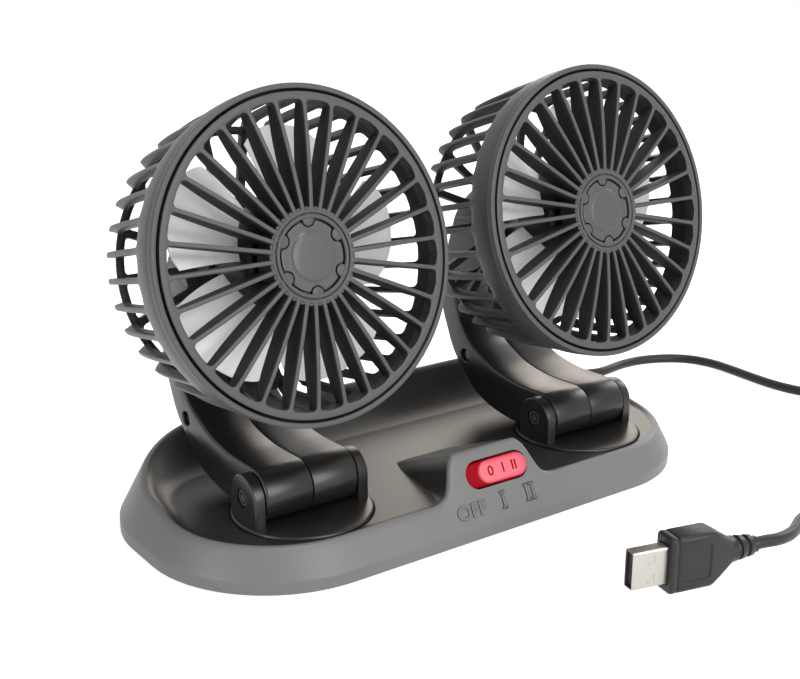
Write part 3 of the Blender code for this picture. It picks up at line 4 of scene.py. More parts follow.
from math import asin, atan, atan2, cos, hypot, pi, radians, sin, tau

import bmesh
import bpy
from mathutils import Matrix, Vector


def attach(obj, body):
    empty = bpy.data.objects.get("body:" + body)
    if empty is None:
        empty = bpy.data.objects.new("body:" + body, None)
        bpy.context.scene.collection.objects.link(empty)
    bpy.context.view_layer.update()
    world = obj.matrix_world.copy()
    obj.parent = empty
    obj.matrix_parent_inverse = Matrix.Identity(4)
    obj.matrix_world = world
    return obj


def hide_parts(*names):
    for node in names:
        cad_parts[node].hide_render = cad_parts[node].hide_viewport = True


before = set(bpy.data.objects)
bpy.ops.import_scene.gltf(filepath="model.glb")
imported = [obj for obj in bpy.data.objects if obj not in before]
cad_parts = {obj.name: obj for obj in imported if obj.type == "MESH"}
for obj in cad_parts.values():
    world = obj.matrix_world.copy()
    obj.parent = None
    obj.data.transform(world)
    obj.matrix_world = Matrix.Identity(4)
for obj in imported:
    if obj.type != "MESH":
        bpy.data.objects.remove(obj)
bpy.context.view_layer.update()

MM = 0.001
SCENE = bpy.context.scene

# Sizes repeated from the part, in millimetres
GAP = 0.3
UNDERSIDE = 1.0
FLOOR_HEIGHT = 12.6
FLOOR_Z = UNDERSIDE + FLOOR_HEIGHT
DISC_TOP = FLOOR_Z + 0.94
HINGE_HEIGHT, HINGE_BACK = 7.78, 1.19
HINGE_Z = DISC_TOP + HINGE_HEIGHT
TURNTABLE_Y = -22.24
HINGE_Y = TURNTABLE_Y + HINGE_BACK
SIDES = (("left", -59.2), ("right", 59.2))
HEAD_FORWARD = 8.95
HEAD_RISE = 74.14
HEAD_TILT = radians(12.72)
CAGE_DEPTH = 45.3
BASE_LENGTH = 208.3
BASE_DEPTH = 104.1
BASE_CORNER = 44.763
WALL_LEAN = 0.525
FOOT_BAND = 4.0
SWITCH_X = 1.8
CORD_DIAMETER = 4.0
CORD_EXIT = (30.0, BASE_DEPTH / 2, UNDERSIDE + 6.8)
RELIEF_LENGTH = 12.0
WELL_PAD = 1.8


# Helpers for objects, places and circles

def linked(name, data):
    obj = bpy.data.objects.new(name, data)
    SCENE.collection.objects.link(obj)
    return obj


def place(x, y, z):
    return Matrix.Translation((x, y, z))


def turned(angle, axis):
    return Matrix.Rotation(angle, 4, axis)


def polar(radius, angle, middle=(0.0, 0.0)):
    return middle[0] + radius * cos(angle), middle[1] + radius * sin(angle)


def arc(radius, first, last, steps, middle=(0.0, 0.0)):
    return [polar(radius, first + (last - first) * i / steps, middle) for i in range(steps + 1)]


# Mesh helpers

def edited(mesh, act):
    """The mesh after act has worked on its bmesh."""
    work = bmesh.new()
    work.from_mesh(mesh)
    act(work)
    work.to_mesh(mesh)
    work.free()
    return mesh


def mesh_of(verts, faces):
    mesh = bpy.data.meshes.new("work")
    mesh.from_pydata([tuple(v) for v in verts], [], faces)
    mesh.validate()
    return edited(mesh, lambda work: bmesh.ops.recalc_face_normals(work, faces=work.faces))


def piece(name, mesh, look, body, matrix=None, stands_for=(), smooth=40):
    """A shown piece: its mesh goes from millimetres to metres and rides on a body."""
    made = mesh.copy()
    made.name = name
    if matrix is not None:
        made.transform(matrix)
    made.transform(Matrix.Scale(MM, 4))
    made.shade_smooth()
    made.set_sharp_from_angle(angle=radians(smooth))
    looks = look if isinstance(look, tuple) else (look,)
    if len(made.materials) == len(looks):
        for i, each in enumerate(looks):
            made.materials[i] = each
    else:
        made.materials.clear()
        made.materials.append(looks[0])
    obj = linked(name, made)
    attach(obj, body)
    if stands_for:
        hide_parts(*stands_for)
    return obj


def evaluated(mesh, *steps):
    """The mesh after modifiers: each step is (type, settings), and a setting named object takes a mesh."""
    holders = [linked("work", mesh)]
    for kind, settings in steps:
        modifier = holders[0].modifiers.new(kind.lower(), kind)
        for key, value in settings.items():
            if key == "object":
                value = linked("work", value)
                holders.append(value)
            setattr(modifier, key, value)
    bpy.context.view_layer.update()
    graph = bpy.context.evaluated_depsgraph_get()
    made = bpy.data.meshes.new_from_object(holders[0].evaluated_get(graph), depsgraph=graph)
    for holder in holders:
        bpy.data.objects.remove(holder, do_unlink=True)
    return made


def cut(mesh, *cutters, operation="DIFFERENCE"):
    steps = [("BOOLEAN", {"operation": operation, "solver": "EXACT", "object": c}) for c in cutters]
    return evaluated(mesh, *steps)


def bevelled(mesh, width, segments, angle):
    return evaluated(mesh, ("BEVEL", {"width": width, "segments": segments, "limit_method": "ANGLE",
                                      "angle_limit": radians(angle)}))


def joined(*meshes):
    return edited(bpy.data.meshes.new("work"), lambda work: [work.from_mesh(mesh) for mesh in meshes])


def with_painted_shade(mesh, is_second):
    """The mesh with a slot for the outside and one for the faces that is_second(centre, normal) picks, whose darker
    colour is painted shade in the head's hollows and on its inner sides.
    """
    for look in (GREY, PAINTED_SHADE):
        mesh.materials.append(look)
    for face in mesh.polygons:
        face.material_index = 1 if is_second(face.center, face.normal) else 0
    return mesh


def moved(mesh, matrix):
    made = mesh.copy()
    made.transform(matrix)
    return made


def loft(rings):
    """A closed solid through rings of points, with its first two faces at the ends."""
    count = len(rings[0])
    verts = [point for ring in rings for point in ring]
    faces = [list(range(count)), [len(verts) - 1 - i for i in range(count)]]
    for row in range(len(rings) - 1):
        for i in range(count):
            j = (i + 1) % count
            faces.append([row * count + i, row * count + j, (row + 1) * count + j, (row + 1) * count + i])
    return mesh_of(verts, faces)


def revolved(profile, steps=48):
    """A profile of (radius, height) turned round Z. Ends on the axis close to a point, others to a ring."""
    verts, rings = [], []
    for radius, height in profile:
        count = steps if radius else 1
        rings.append(list(range(len(verts), len(verts) + count)))
        verts += [(*polar(radius, tau * i / steps), height) for i in range(count)]
    faces = []
    pairs = list(zip(rings, rings[1:]))
    if len(rings[0]) > 1 and len(rings[-1]) > 1:
        pairs.append((rings[-1], rings[0]))
    for first, second in pairs:
        for i in range(steps):
            j = (i + 1) % steps
            corners = (first[i % len(first)], first[j % len(first)],
                       second[j % len(second)], second[i % len(second)])
            face = list(dict.fromkeys(corners))
            if len(face) > 2:
                faces.append(face)
    return mesh_of(verts, faces)


def rod(radius, low, high, steps, turn=None, spot=(0, 0, 0)):
    """A plain round bar for cutting and joining, round Z from low to high."""
    mesh = revolved([(0, high), (radius, high), (radius, low), (0, low)], steps)
    if turn is not None:
        mesh.transform(turn)
    mesh.transform(place(*spot))
    return mesh


def prism(outline, low, high):
    return loft([[(x, y, level) for x, y in outline] for level in (low, high)])


def smooth_line(points, steps):
    """A Catmull-Rom line through points of any dimension."""
    spots = [Vector(p) for p in points]
    spots = [2 * spots[0] - spots[1]] + spots + [2 * spots[-1] - spots[-2]]
    made = []
    for a, b, c, d in zip(spots, spots[1:], spots[2:], spots[3:]):
        for i in range(steps):
            t = i / steps
            made.append(0.5 * ((2 * b) + (c - a) * t + (2 * a - 5 * b + 4 * c - d) * t * t
                               + (3 * b - a - 3 * c + d) * t * t * t))
    return made + [spots[-2]]


def rounded_corners(points, radii, steps=3):
    """An open line of points whose inner corners are rounded off, always with the same number of points."""
    made = [Vector(points[0])]
    for before, here, after, radius in zip(points, points[1:], points[2:], radii):
        b, h, a = Vector(before), Vector(here), Vector(after)
        back, on = b - h, a - h
        reach_back = min(radius, 0.45 * back.length)
        reach_on = min(radius, 0.45 * on.length)
        start = h + back.normalized() * reach_back
        end = h + on.normalized() * reach_on
        for i in range(steps + 1):
            t = i / steps
            made.append(start * (1 - t) ** 2 + h * 2 * t * (1 - t) + end * t * t)
    made.append(Vector(points[-1]))
    return made


def stadium(length, width, steps=20):
    radius = width / 2
    right = arc(radius, -pi / 2, pi / 2, steps, (length / 2 - radius, 0))
    return right + [(-x, -y) for x, y in right]


def pierced(outer, inner, present):
    """A shell between two grids of points, with the cells missing that present(row, column) leaves out.
    Its outer and inner layers are joined by walls wherever a cell ends."""
    rows, columns = len(outer), len(outer[0])
    verts = [p for grid in (outer, inner) for row in grid for p in row]
    layer = rows * columns

    def at(side, row, column):
        return side * layer + row * columns + column % columns

    def here(row, column):
        return 0 <= row < rows - 1 and present(row, column % columns)

    def wall(start, end):
        faces.append([at(0, *start), at(0, *end), at(1, *end), at(1, *start)])

    faces = []
    for row in range(rows - 1):
        for column in range(columns):
            if here(row, column):
                for side in (0, 1):
                    faces.append([at(side, row, column), at(side, row, column + 1),
                                  at(side, row + 1, column + 1), at(side, row + 1, column)])
            if here(row, column) != here(row, column - 1):
                wall((row, column), (row + 1, column))
    for row in range(rows):
        for column in range(columns):
            if here(row - 1, column) != here(row, column):
                wall((row, column), (row, column + 1))
    used = sorted({i for face in faces for i in face})
    new = {old: i for i, old in enumerate(used)}
    return mesh_of([verts[i] for i in used], [[new[i] for i in face] for face in faces])


# Materials

def nodes_of(name):
    made = bpy.data.materials.new(name)
    made.use_nodes = True
    tree = made.node_tree
    return made, tree, tree.nodes["Principled BSDF"]


def set_inputs(node, **values):
    """Sets a node's inputs, each named in lower case with _ for a space."""
    for name, value in values.items():
        title = name.replace("_", " ").title().replace("Ior", "IOR")
        node.inputs[title].default_value = value
    return node


def noise(tree, scale, detail=3.0):
    coordinates = tree.nodes.new("ShaderNodeTexCoord")
    texture = set_inputs(tree.nodes.new("ShaderNodeTexNoise"), scale=scale, detail=detail, roughness=0.55)
    tree.links.new(coordinates.outputs["Object"], texture.inputs["Vector"])
    return texture.outputs["Fac"]


def ranged(tree, value, low, high, from_min=0.3, from_max=0.7):
    node = set_inputs(tree.nodes.new("ShaderNodeMapRange"), from_min=from_min, from_max=from_max,
                      to_min=low, to_max=high)
    tree.links.new(value, node.inputs["Value"])
    return node.outputs["Result"]


def mixed(tree, factor, first, second):
    node = tree.nodes.new("ShaderNodeMix")
    node.data_type = "RGBA"
    node.inputs["A"].default_value = (*first, 1)
    node.inputs["B"].default_value = (*second, 1)
    tree.links.new(factor, node.inputs["Factor"])
    return node.outputs["Result"]


def surface(name, colour, roughness, grain=0.04, bump=0.02, metallic=0.0, coat=0.0, scale=1400.0,
            specular=0.5, blotch=0.05):
    """A moulded or metal surface: a fine grain in its relief and gloss, and a slow drift in its colour."""
    made, tree, shader = nodes_of(name)
    fine = noise(tree, scale)
    slow = noise(tree, 60.0, 2.0)
    darker = tuple(c * (1 - blotch) for c in colour)
    lighter = tuple(min(1.0, c * (1 + blotch)) for c in colour)
    tree.links.new(mixed(tree, slow, darker, lighter), shader.inputs["Base Color"])
    tree.links.new(ranged(tree, fine, roughness - grain, roughness + grain), shader.inputs["Roughness"])
    set_inputs(shader, metallic=metallic, specular_ior_level=specular, coat_weight=coat, coat_roughness=0.12)
    relief = set_inputs(tree.nodes.new("ShaderNodeBump"), strength=bump, distance=0.0004)
    tree.links.new(fine, relief.inputs["Height"])
    tree.links.new(relief.outputs["Normal"], shader.inputs["Normal"])
    return made


GREY = surface("head_grey_plastic", (0.086, 0.086, 0.088), 0.42, grain=0.03, specular=0.22)
CAP = surface("cap_grey_plastic", (0.082, 0.082, 0.084), 0.4, grain=0.03, specular=0.25, coat=0.15)
# Painted shade: a darker grey for the inner sides of the cage, the spoke sides and the cap's step, where shade falls
# inside the head.
PAINTED_SHADE = surface("head_painted_shade_plastic", (0.03, 0.03, 0.031), 0.5, grain=0.03, specular=0.15)
# Painted shade: the tray's rim crest, bowl and floor take a much darker, slightly warm colour than the shell's walls,
# for the shade that falls in the tray.
SHADED_TRAY = surface("tray_painted_shade_plastic", (0.02, 0.018, 0.016), 0.34, grain=0.02, bump=0.015, specular=0.4)
# Painted shadow: a dark grey for the outline round the raised letters, where their shadow line falls.
LABEL = surface("label_painted_shadow", (0.04, 0.04, 0.04), 0.5, specular=0.2)
SHELL = surface("base_grey_plastic", (0.16, 0.159, 0.159), 0.46, grain=0.03, specular=0.4)
DARK = surface("arm_dark_plastic", (0.014, 0.013, 0.012), 0.3, grain=0.015, bump=0.006, specular=0.4)
BLACK = surface("black_plastic", (0.01, 0.01, 0.011), 0.45, bump=0.05, specular=0.2)
RUBBER = surface("foot_rubber", (0.016, 0.016, 0.016), 0.75, bump=0.12)
RED = surface("rocker_red_plastic", (0.33, 0.001, 0.008), 0.45, grain=0.02, bump=0.01, specular=0.04)
PINK = surface("rocker_pink_plastic", (0.7, 0.095, 0.135), 0.26, grain=0.02, bump=0.01, specular=0.3)
WHITE = surface("impeller_white_plastic", (0.92, 0.92, 0.92), 0.32, blotch=0.01)
STEEL = surface("screw_steel", (0.42, 0.42, 0.43), 0.34, grain=0.08, metallic=1.0, scale=2600.0)
DARK_STEEL = surface("black_oxide_steel", (0.12, 0.12, 0.125), 0.36, grain=0.06, metallic=0.7, scale=2600.0)
MOTOR_STEEL = surface("motor_steel", (0.3, 0.3, 0.31), 0.4, grain=0.08, metallic=1.0, scale=2200.0)
NICKEL = surface("usb_nickel", (0.42, 0.4, 0.37), 0.34, grain=0.07, metallic=1.0, scale=3000.0, bump=0.06)
GOLD = surface("contact_gold", (0.72, 0.5, 0.2), 0.28, grain=0.05, metallic=1.0, scale=3000.0)
CORD_LOOK = surface("cord_rubber", (0.016, 0.016, 0.0165), 0.44, bump=0.03, specular=0.28)
BOARD = surface("board_green", (0.02, 0.12, 0.05), 0.45)
BLACK_GLOSS = surface("plug_black_plastic", (0.016, 0.016, 0.017), 0.4, bump=0.25, scale=900.0, specular=0.3)


# Camera, floor and light

FLOOR_GLOW = 0.88
WORLD_LIGHT = 0.16


def set_up_view():
    camera = bpy.data.cameras.new("camera")
    camera.lens = 55.52
    camera.sensor_width = 36.0
    camera.clip_start = 0.01
    camera.clip_end = 20.0
    holder = linked("camera", camera)
    holder.location = (-0.24384, -0.32855, 0.17703)
    holder.rotation_euler = (radians(90 - 16.81), 0, radians(-36.01))
    SCENE.camera = holder
    SCENE.view_settings.view_transform = "Standard"


def background_rays(tree):
    """1 for rays that see the background itself, from the camera or by way of gloss and glass, else 0."""
    path = tree.nodes.new("ShaderNodeLightPath")
    value = path.outputs["Is Camera Ray"]
    for name in ("Is Glossy Ray", "Is Transmission Ray"):
        either = tree.nodes.new("ShaderNodeMath")
        either.operation = "MAXIMUM"
        tree.links.new(value, either.inputs[0])
        tree.links.new(path.outputs[name], either.inputs[1])
        value = either.outputs["Value"]
    return value


def set_up_stage():
    """A pale floor that shows white behind the object and keeps the soft shadow, a pale world and the lamps."""
    half = 40.0
    floor_mesh = mesh_of([(-half, -half, 0), (half, -half, 0), (half, half, 0), (-half, half, 0)], [[0, 1, 2, 3]])
    floor = linked("floor", floor_mesh)
    floor.location = (0, 0, -0.0001)
    look, tree, shader = nodes_of("pale_floor")
    set_inputs(shader, base_color=(0.86, 0.86, 0.86, 1), roughness=0.9, specular_ior_level=0.0)
    glow = tree.nodes.new("ShaderNodeEmission")
    tree.links.new(ranged(tree, background_rays(tree), 0.0, FLOOR_GLOW, 0.0, 1.0), glow.inputs["Strength"])
    both = tree.nodes.new("ShaderNodeAddShader")
    tree.links.new(shader.outputs["BSDF"], both.inputs[0])
    tree.links.new(glow.outputs["Emission"], both.inputs[1])
    tree.links.new(both.outputs["Shader"], tree.nodes["Material Output"].inputs["Surface"])
    floor_mesh.materials.append(look)

    world = bpy.data.worlds.new("studio")
    world.use_nodes = True
    SCENE.world = world
    tree = world.node_tree
    background = tree.nodes["Background"]
    background.inputs["Color"].default_value = (1, 1, 1, 1)
    level = ranged(tree, background_rays(tree), WORLD_LIGHT, 1.0, 0.0, 1.0)
    tree.links.new(level, background.inputs["Strength"])

    lamps = (
        ("front", (0.12, -1.15, 0.46), 0.8, 10.2, (1.0, 1.0, 1.0)),
        ("left", (-1.1, -0.16, 0.14), 0.4, 4.5, (0.9, 0.94, 1.0)),
        ("right", (1.1, 0.1, 0.6), 0.5, 4.0, (0.9, 0.94, 1.0)),
        ("back", (0.95, 0.9, 0.6), 0.7, 3.6, (1.0, 0.88, 0.76)),
        ("top", (0.05, -0.45, 1.2), 0.4, 6.0, (1.0, 0.98, 0.95)),
    )
    for name, spot, size, power, colour in lamps:
        lamp = bpy.data.lights.new(name, "AREA")
        lamp.shape = "DISK"
        lamp.size = size
        lamp.energy = power
        lamp.color = colour
        holder = linked(name, lamp)
        holder.location = spot
        away = Vector(spot) - Vector((0, 0, 0.05))
        holder.rotation_euler = away.to_track_quat("Z", "Y").to_euler()


set_up_view()
set_up_stage()


# Cord: one line from the strain relief to the plug, wound into the coil on its way

LEAD_ROUTE = [
    (30.6, 72.5, 7.2), (34.5, 79.5, 5), (43, 85.5, 2.6), (58, 86.5, 2), (76, 80, 2),
    (93, 69.5, 2), (110, 59, 2), (126, 50.5, 2), (140, 46, 2), (154.7, 47.9, 2),
    (167.2, 47.3, 2), (178.8, 42.6, 2), (187.1, 34.7, 2), (190.6, 22.8, 2), (189.9, 7.9, 2),
    (188.8, -6.8, 2), (189.8, -19.1, 2.1), (194, -32, 2.3), (201, -45, 2.5), (208.5, -56, 2.8),
]
TAIL_ROUTE = [
    (164, -102.2, 5.8), (148, -103, 3), (131, -104.5, 2), (115, -104.5, 2),
    (100, -103.5, 2.1), (88.5, -104.5, 3), (79, -107.5, 4.5), (72.5, -110.8, 5.8), (66, -114.3, 7),
    (59.5, -116.8, 8), (53, -117.6, 8.7),
]
COIL_CENTRE = (184.0, -74.0)
COIL_MID_DIAMETER = 46.0
COIL_PITCH = 5.2
COIL_LAYER = 4.6
COIL_DOWN, COIL_CLIMB, COIL_UP = 2.5, 0.5, 2.25
COIL_POINTS = 24
TIE_THICKNESS = 0.7
RELIEF_END = BASE_DEPTH / 2 + GAP + RELIEF_LENGTH
PLUG_TIP = (0.6, -105.3, 9.0)
PLUG_TURN = place(*PLUG_TIP) @ turned(radians(-13.5), "Z")
PLUG_LENGTH = 45.0
FLOOR_ROOM = 0.08


def coil_points():
    inner = COIL_MID_DIAMETER / 2 - COIL_PITCH * COIL_DOWN / 2
    low = CORD_DIAMETER / 2 + TIE_THICKNESS + GAP
    points = []
    for i in range(round((COIL_DOWN + COIL_CLIMB + COIL_UP) * COIL_POINTS) + 1):
        turn = i / COIL_POINTS
        radius = inner + COIL_PITCH * (max(COIL_DOWN - turn, 0.0) + max(turn - COIL_DOWN - COIL_CLIMB, 0.0))
        rise = min(max((turn - COIL_DOWN) / COIL_CLIMB, 0.0), 1.0)
        rise = rise * rise * (3 - 2 * rise)
        angle = -tau * turn
        points.append(Vector((*polar(radius, angle, COIL_CENTRE), low + COIL_LAYER * rise)))
    return points


def cord_line():
    coil = coil_points()
    reach = CORD_DIAMETER
    start = Vector((CORD_EXIT[0], RELIEF_END + GAP, CORD_EXIT[2]))
    entry = (coil[0] - coil[1]).normalized()
    leave = (coil[-1] - coil[-2]).normalized()
    boot = PLUG_TURN @ Vector((PLUG_LENGTH + GAP, 0, 0))
    away = (PLUG_TURN @ Vector((1, 0, 0)) - PLUG_TURN @ Vector((0, 0, 0))).normalized()
    lead = smooth_line([start, start + Vector((0, reach, 0))] + LEAD_ROUTE + [coil[0] + entry * reach, coil[0]], 2)
    tail = smooth_line([coil[-1], coil[-1] + leave * reach] + TAIL_ROUTE + [boot + away * reach, boot], 2)
    line = lead + coil[1:-1] + tail
    for point in line:
        point.z = max(point.z, CORD_DIAMETER / 2 + FLOOR_ROOM)
    return line


def cord():
    curve = bpy.data.curves.new("cord", "CURVE")
    curve.dimensions = "3D"
    curve.bevel_depth = CORD_DIAMETER / 2 * MM
    curve.bevel_resolution = 6
    curve.use_fill_caps = True
    curve.resolution_u = 4
    points = [p * MM for p in cord_line()]
    spline = curve.splines.new("BEZIER")
    spline.bezier_points.add(len(points) - 1)
    for spot, point in zip(spline.bezier_points, points):
        spot.co = point
        spot.handle_left_type = spot.handle_right_type = "AUTO"
    curve.materials.append(CORD_LOOK)
    obj = linked("cord", curve)
    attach(obj, "base")
    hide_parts("cord_lead", "cord_coil", "cord_tail")
    return obj, points


cord_piece, cord_points = cord()


# Carried-over CAD pieces take a material

def dress():
    looks = {
        "base_plate": BLACK, "foot_": RUBBER, "base_screw": STEEL, "switch_body": BLACK,
        "circuit_board": BOARD, "pivot_washer": DARK, "pivot_screw": STEEL, "hinge_bolt": DARK_STEEL,
        "arm_screw": DARK_STEEL, "mount_screw": STEEL, "motor_shaft": STEEL, "cord_tie": BLACK,
        "usb_tongue": BLACK,
    }
    for name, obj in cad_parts.items():
        for start, look in looks.items():
            if name.startswith(start):
                obj.data.materials.clear()
                obj.data.materials.append(look)


dress()


# Heads, made round Z with the front up; a height is how far forward of the parting groove

def head_matrix(x):
    spot = place(x, HINGE_Y - HEAD_FORWARD, HINGE_Z + HEAD_RISE)
    return spot @ turned(pi / 2 - HEAD_TILT, "X")


def ribbed(rows, ribs, row_open):
    """A turned shell with a rib in the middle of each sector. A row is (crest, mid, inner, half, edge, lowered):
    three (radius, height) points, the crest's half width, the distance from a rib's middle to the edge of the
    opening, and (drop of a rib's sides, every other rib is flat, the sides follow the crest). row_open(step)
    says 0 for closed, 1 for an opening beside each rib, and 2 where every other rib is missing too."""
    outer, inner = [], []
    for crest, mid, inside, half, edge, lowered in rows:
        outer_row, inner_row = [], []
        for rib in range(ribs):
            centre = tau * rib / ribs
            keeps_crest = rib % 2 == 0 or not lowered[1]
            top = crest if keeps_crest else mid
            sides = (top[0] - lowered[0] * 0.6, top[1] - lowered[0]) if lowered[2] else mid
            for offset, point in ((-edge, sides), (-half, top), (half, top), (edge, sides), (None, mid)):
                angle = centre + (pi / ribs if offset is None else offset / max(crest[0], 0.5))
                outer_row.append((*polar(point[0], angle), point[1]))
                inner_row.append((*polar(inside[0], angle), inside[1]))
        outer.append(outer_row)
        inner.append(inner_row)

    def present(step, column):
        state = row_open(step)
        rib, part = divmod(column, RIB_POINTS)
        return state == 0 or part < 3 and (state == 1 or rib % 2 == 0)

    return pierced(outer, inner, present)


def corner_rows(full, radius, steps=4):
    """(half width of the opening, way in from its end) pairs round a corner of an opening."""
    made = []
    for i in range(steps + 1):
        t = pi / 2 * i / steps
        made.append((full - radius + radius * sin(t), radius - radius * cos(t)))
    return made


def line_at(points, x):
    """The value at x on a line of (x, value) pairs in falling or rising order."""
    ordered = sorted(points)
    if x <= ordered[0][0]:
        return ordered[0][1]
    for (a, u), (b, v) in zip(ordered, ordered[1:]):
        if x <= b:
            return u + (v - u) * (x - a) / (b - a)
    return ordered[-1][1]


CAGE_CREST = [(10.6, 49.05), (14.0, 48.6), (20.0, 48.1), (27.0, 47.5), (33.0, 46.8), (36.5, 46.3), (39.0, 45.9),
              (41.0, 45.5)]
CAGE_INSIDE = [(10.6, 46.4), (12.5, 46.1), (14.0, 45.9), (20.0, 45.4), (27.0, 44.7), (34.0, 43.6), (37.0, 42.6),
               (41.0, 41.0)]
RIB_HALF = 0.85
RIB_POINTS = 5
RIBS = 36
PITCH = tau / RIBS
SPOKES = 30
NOTCHES, NOTCH_CENTRE = 6, 10.75
FLAT, SUNK = (0.0, False, False), (0.3, False, True)


def rear_cage_mesh():
    rows, opened = [], []

    def row(crest, mid, inside, half=0.5, edge=2.2, lowered=FLAT, state=0):
        rows.append((crest, mid, inside, half, edge, lowered))
        opened.append(state)

    front = (
        ((49.4, 1.1), (48.62, 1.1)), ((49.65, 1.08), (48.5, 1.02)), ((49.9, 0.95), (48.46, 0.92)),
        ((50.0, 0.62), (48.45, 0.4)), ((50.0, -1.05), (48.45, -1.5)), ((49.74, -1.22), (48.45, -3.15)),
        ((49.74, -1.6), (48.2, -3.3)), ((49.86, -2.0), (46.95, -3.3)), ((49.78, -5.0), (46.8, -3.45)),
        ((49.5, -8.0), (46.75, -7.0)),
    )
    for out, inside in front:
        row(out, out, inside)
    start, end, slot_radius = 10.6, 41.0, 48.9
    for i, (width, way) in enumerate(corner_rows(PITCH * slot_radius / 2 - RIB_HALF, 1.6)):
        depth = start + way
        crest = line_at(CAGE_CREST, depth)
        row((crest, -depth), (crest - 0.1, -depth), (line_at(CAGE_INSIDE, depth), -depth), 0.42,
            PITCH * crest / 2 - width * crest / slot_radius, (0.3 * i / 4, False, True), 1)
    for depth in (15.0, 18.0, 21.0, 24.0, 27.0, 30.0, 33.0, 36.0, 38.5, end - 0.1):
        crest = line_at(CAGE_CREST, depth)
        row((crest, -depth), (crest, -depth), (line_at(CAGE_INSIDE, depth), -depth), 0.42, RIB_HALF, SUNK, 1)
    hoop = (
        ((45.5, 41.0), (42.6, 41.0), (41.0, 41.0)), ((45.2, 42.0), (42.6, 41.3), (40.9, 41.1)),
        ((44.5, 42.9), (42.4, 42.1), (40.7, 41.2)), ((43.2, 43.7), (41.7, 42.5), (40.3, 41.3)),
    )
    for crest, mid, inside in hoop:
        last = mid[1] > 42.4
        row((crest[0], -crest[1]), (mid[0], -mid[1]), (inside[0], -inside[1]), 0.34, 0.75, (0.0, last, False))
    outer_end, inner_end, inner_slot = 41.0, 20.0, 20.5
    bar = 1.25

    def rear_row(radius, edge, state):
        share = (outer_end - radius) / 23.5
        depth = 43.4 + 1.9 * min(share * 1.3, 1.0) ** 0.7
        mid_depth = 42.5 + 2.8 * min(share * 1.4, 1.0)
        inside_depth = 41.0 + 1.8 * min(share * 2.0, 1.0)
        row((radius, -depth), (radius, -mid_depth), (radius - (1.0 if radius > 36 else 0.0), -inside_depth),
            0.7, edge, (-0.25 if state else 0.0, True, bool(state)), state)

    for width, way in corner_rows(PITCH * outer_end - bar, 1.4):
        rear_row(outer_end - way, PITCH * outer_end - width, 2)
    for radius in (37.0, 33.0, 29.0, 25.0):
        rear_row(radius, bar, 2)
    for i, (width, way) in enumerate(reversed(corner_rows(PITCH * inner_slot - bar, 1.0))):
        rear_row(inner_end + way, PITCH * inner_slot - width, 2 if i < 4 else 0)
    plate = ((18.5, -CAGE_DEPTH, -42.8, 0.3, 0.9), (9.3, -CAGE_DEPTH, -42.8, 0.2, 0.5), (9.0, -45.0, -43.0, 0.2, 0.5))
    for radius, back, inside, half, edge in plate:
        row((radius, back), (radius, back), (radius, inside), half, edge)
    mesh = ribbed(rows, RIBS, lambda step: opened[step])
    holes = [rod(1.3, -50, -40, 16, None, (x, 0, 0)) for x in (-14.3, 14.3)]
    return cut(mesh, *holes)


def grille_mesh():
    pitch = tau / SPOKES
    spoke = 0.66
    rows, opened = [], []
    front = [(47.7, 1.15), (45.4, 1.15), (40.0, 1.75), (34.0, 2.15), (28.0, 2.38), (24.0, 2.45), (14.0, 2.45)]
    back = [(47.7, -3.0), (45.4, -3.1), (42.0, -3.9), (36.0, -4.8), (30.0, -5.2), (22.0, -5.3), (10.0, -5.0)]

    def row(radius, mid=None, half=0.4, edge=2.0, lowered=FLAT, state=0, crest=None, inside=None):
        high = line_at(front, radius) if crest is None else crest
        deep = line_at(back, radius) if inside is None else inside
        rows.append(((radius, high), (radius, high if mid is None else mid), (radius, deep), half, edge, lowered))
        opened.append(state)

    row(47.6, crest=0.7, inside=-2.8)
    row(47.5, crest=0.98, inside=-3.0)
    row(47.2, crest=1.12)
    row(46.2)
    row(45.65, crest=1.1)
    start, end = 45.4, 14.55
    for i, (width, way) in enumerate(corner_rows(pitch * start / 2 - spoke, 1.3)):
        radius = start - way
        row(radius, None, 0.44, pitch * radius / 2 - width * radius / start, SUNK, 1)
    for radius in (42.5, 39.5, 36.0, 32.5, 29.0, 25.5, 22.0, 19.0, 16.8):
        row(radius, None, 0.46, spoke, SUNK, 1)
    for i, (width, way) in enumerate(reversed(corner_rows(pitch * end / 2 - spoke, 0.25, 2))):
        radius = end + way
        row(radius, 1.95, 0.4, pitch * radius / 2 - width * radius / end, (0.3 + 0.2 * i, False, True),
            1 if i < 2 else 0)
    hub = (
        (14.4, 2.4, 1.9, 0.45), (14.1, 2.38, 1.9, 0.45), (13.75, 2.36, 1.92, 0.45), (13.55, 2.3, 2.2, 0.45),
        (13.2, 2.28, 2.28, 0.3), (12.75, 2.2, 2.2, 0.3), (12.6, 1.98, 1.98, 0.3), (12.52, 1.5, 1.5, 0.3),
        (12.3, 1.5, 1.5, 0.3), (12.22, 2.0, 2.0, 0.3), (12.05, 2.28, 2.28, 0.3), (11.6, 2.34, 2.34, 0.3),
        (11.2, 2.2, 2.2, 0.3), (11.04, 1.95, 1.95, 0.3), (10.98, 0.35, 0.35, 0.3),
    )
    hub_back = -5.0
    for radius, crest, mid, half in hub:
        teeth = radius > 13.7
        row(radius, mid, half, 0.8, (0.48, False, True) if teeth else FLAT, 0, crest, hub_back)
    row(6.0, None, 0.2, 0.4, FLAT, 0, 0.3, hub_back)
    row(0.3, None, 0.01, 0.02, FLAT, 0, 0.3, hub_back)
    mesh = ribbed(rows, SPOKES, lambda step: opened[step])
    edited(mesh, lambda work: bmesh.ops.holes_fill(work, edges=[e for e in work.edges if len(e.link_faces) == 1],
                                                   sides=0))
    lobes = []
    for notch in range(NOTCHES):
        lobe = revolved([(0, 2.0), (1.55, 1.98), (1.86, 1.82), (1.95, 1.5), (1.95, 0.1), (0, 0.1)], 28)
        lobes.append(moved(lobe, place(*polar(NOTCH_CENTRE, tau * (notch + 0.5) / NOTCHES), 0)))
    return cut(mesh, *lobes, operation="UNION")


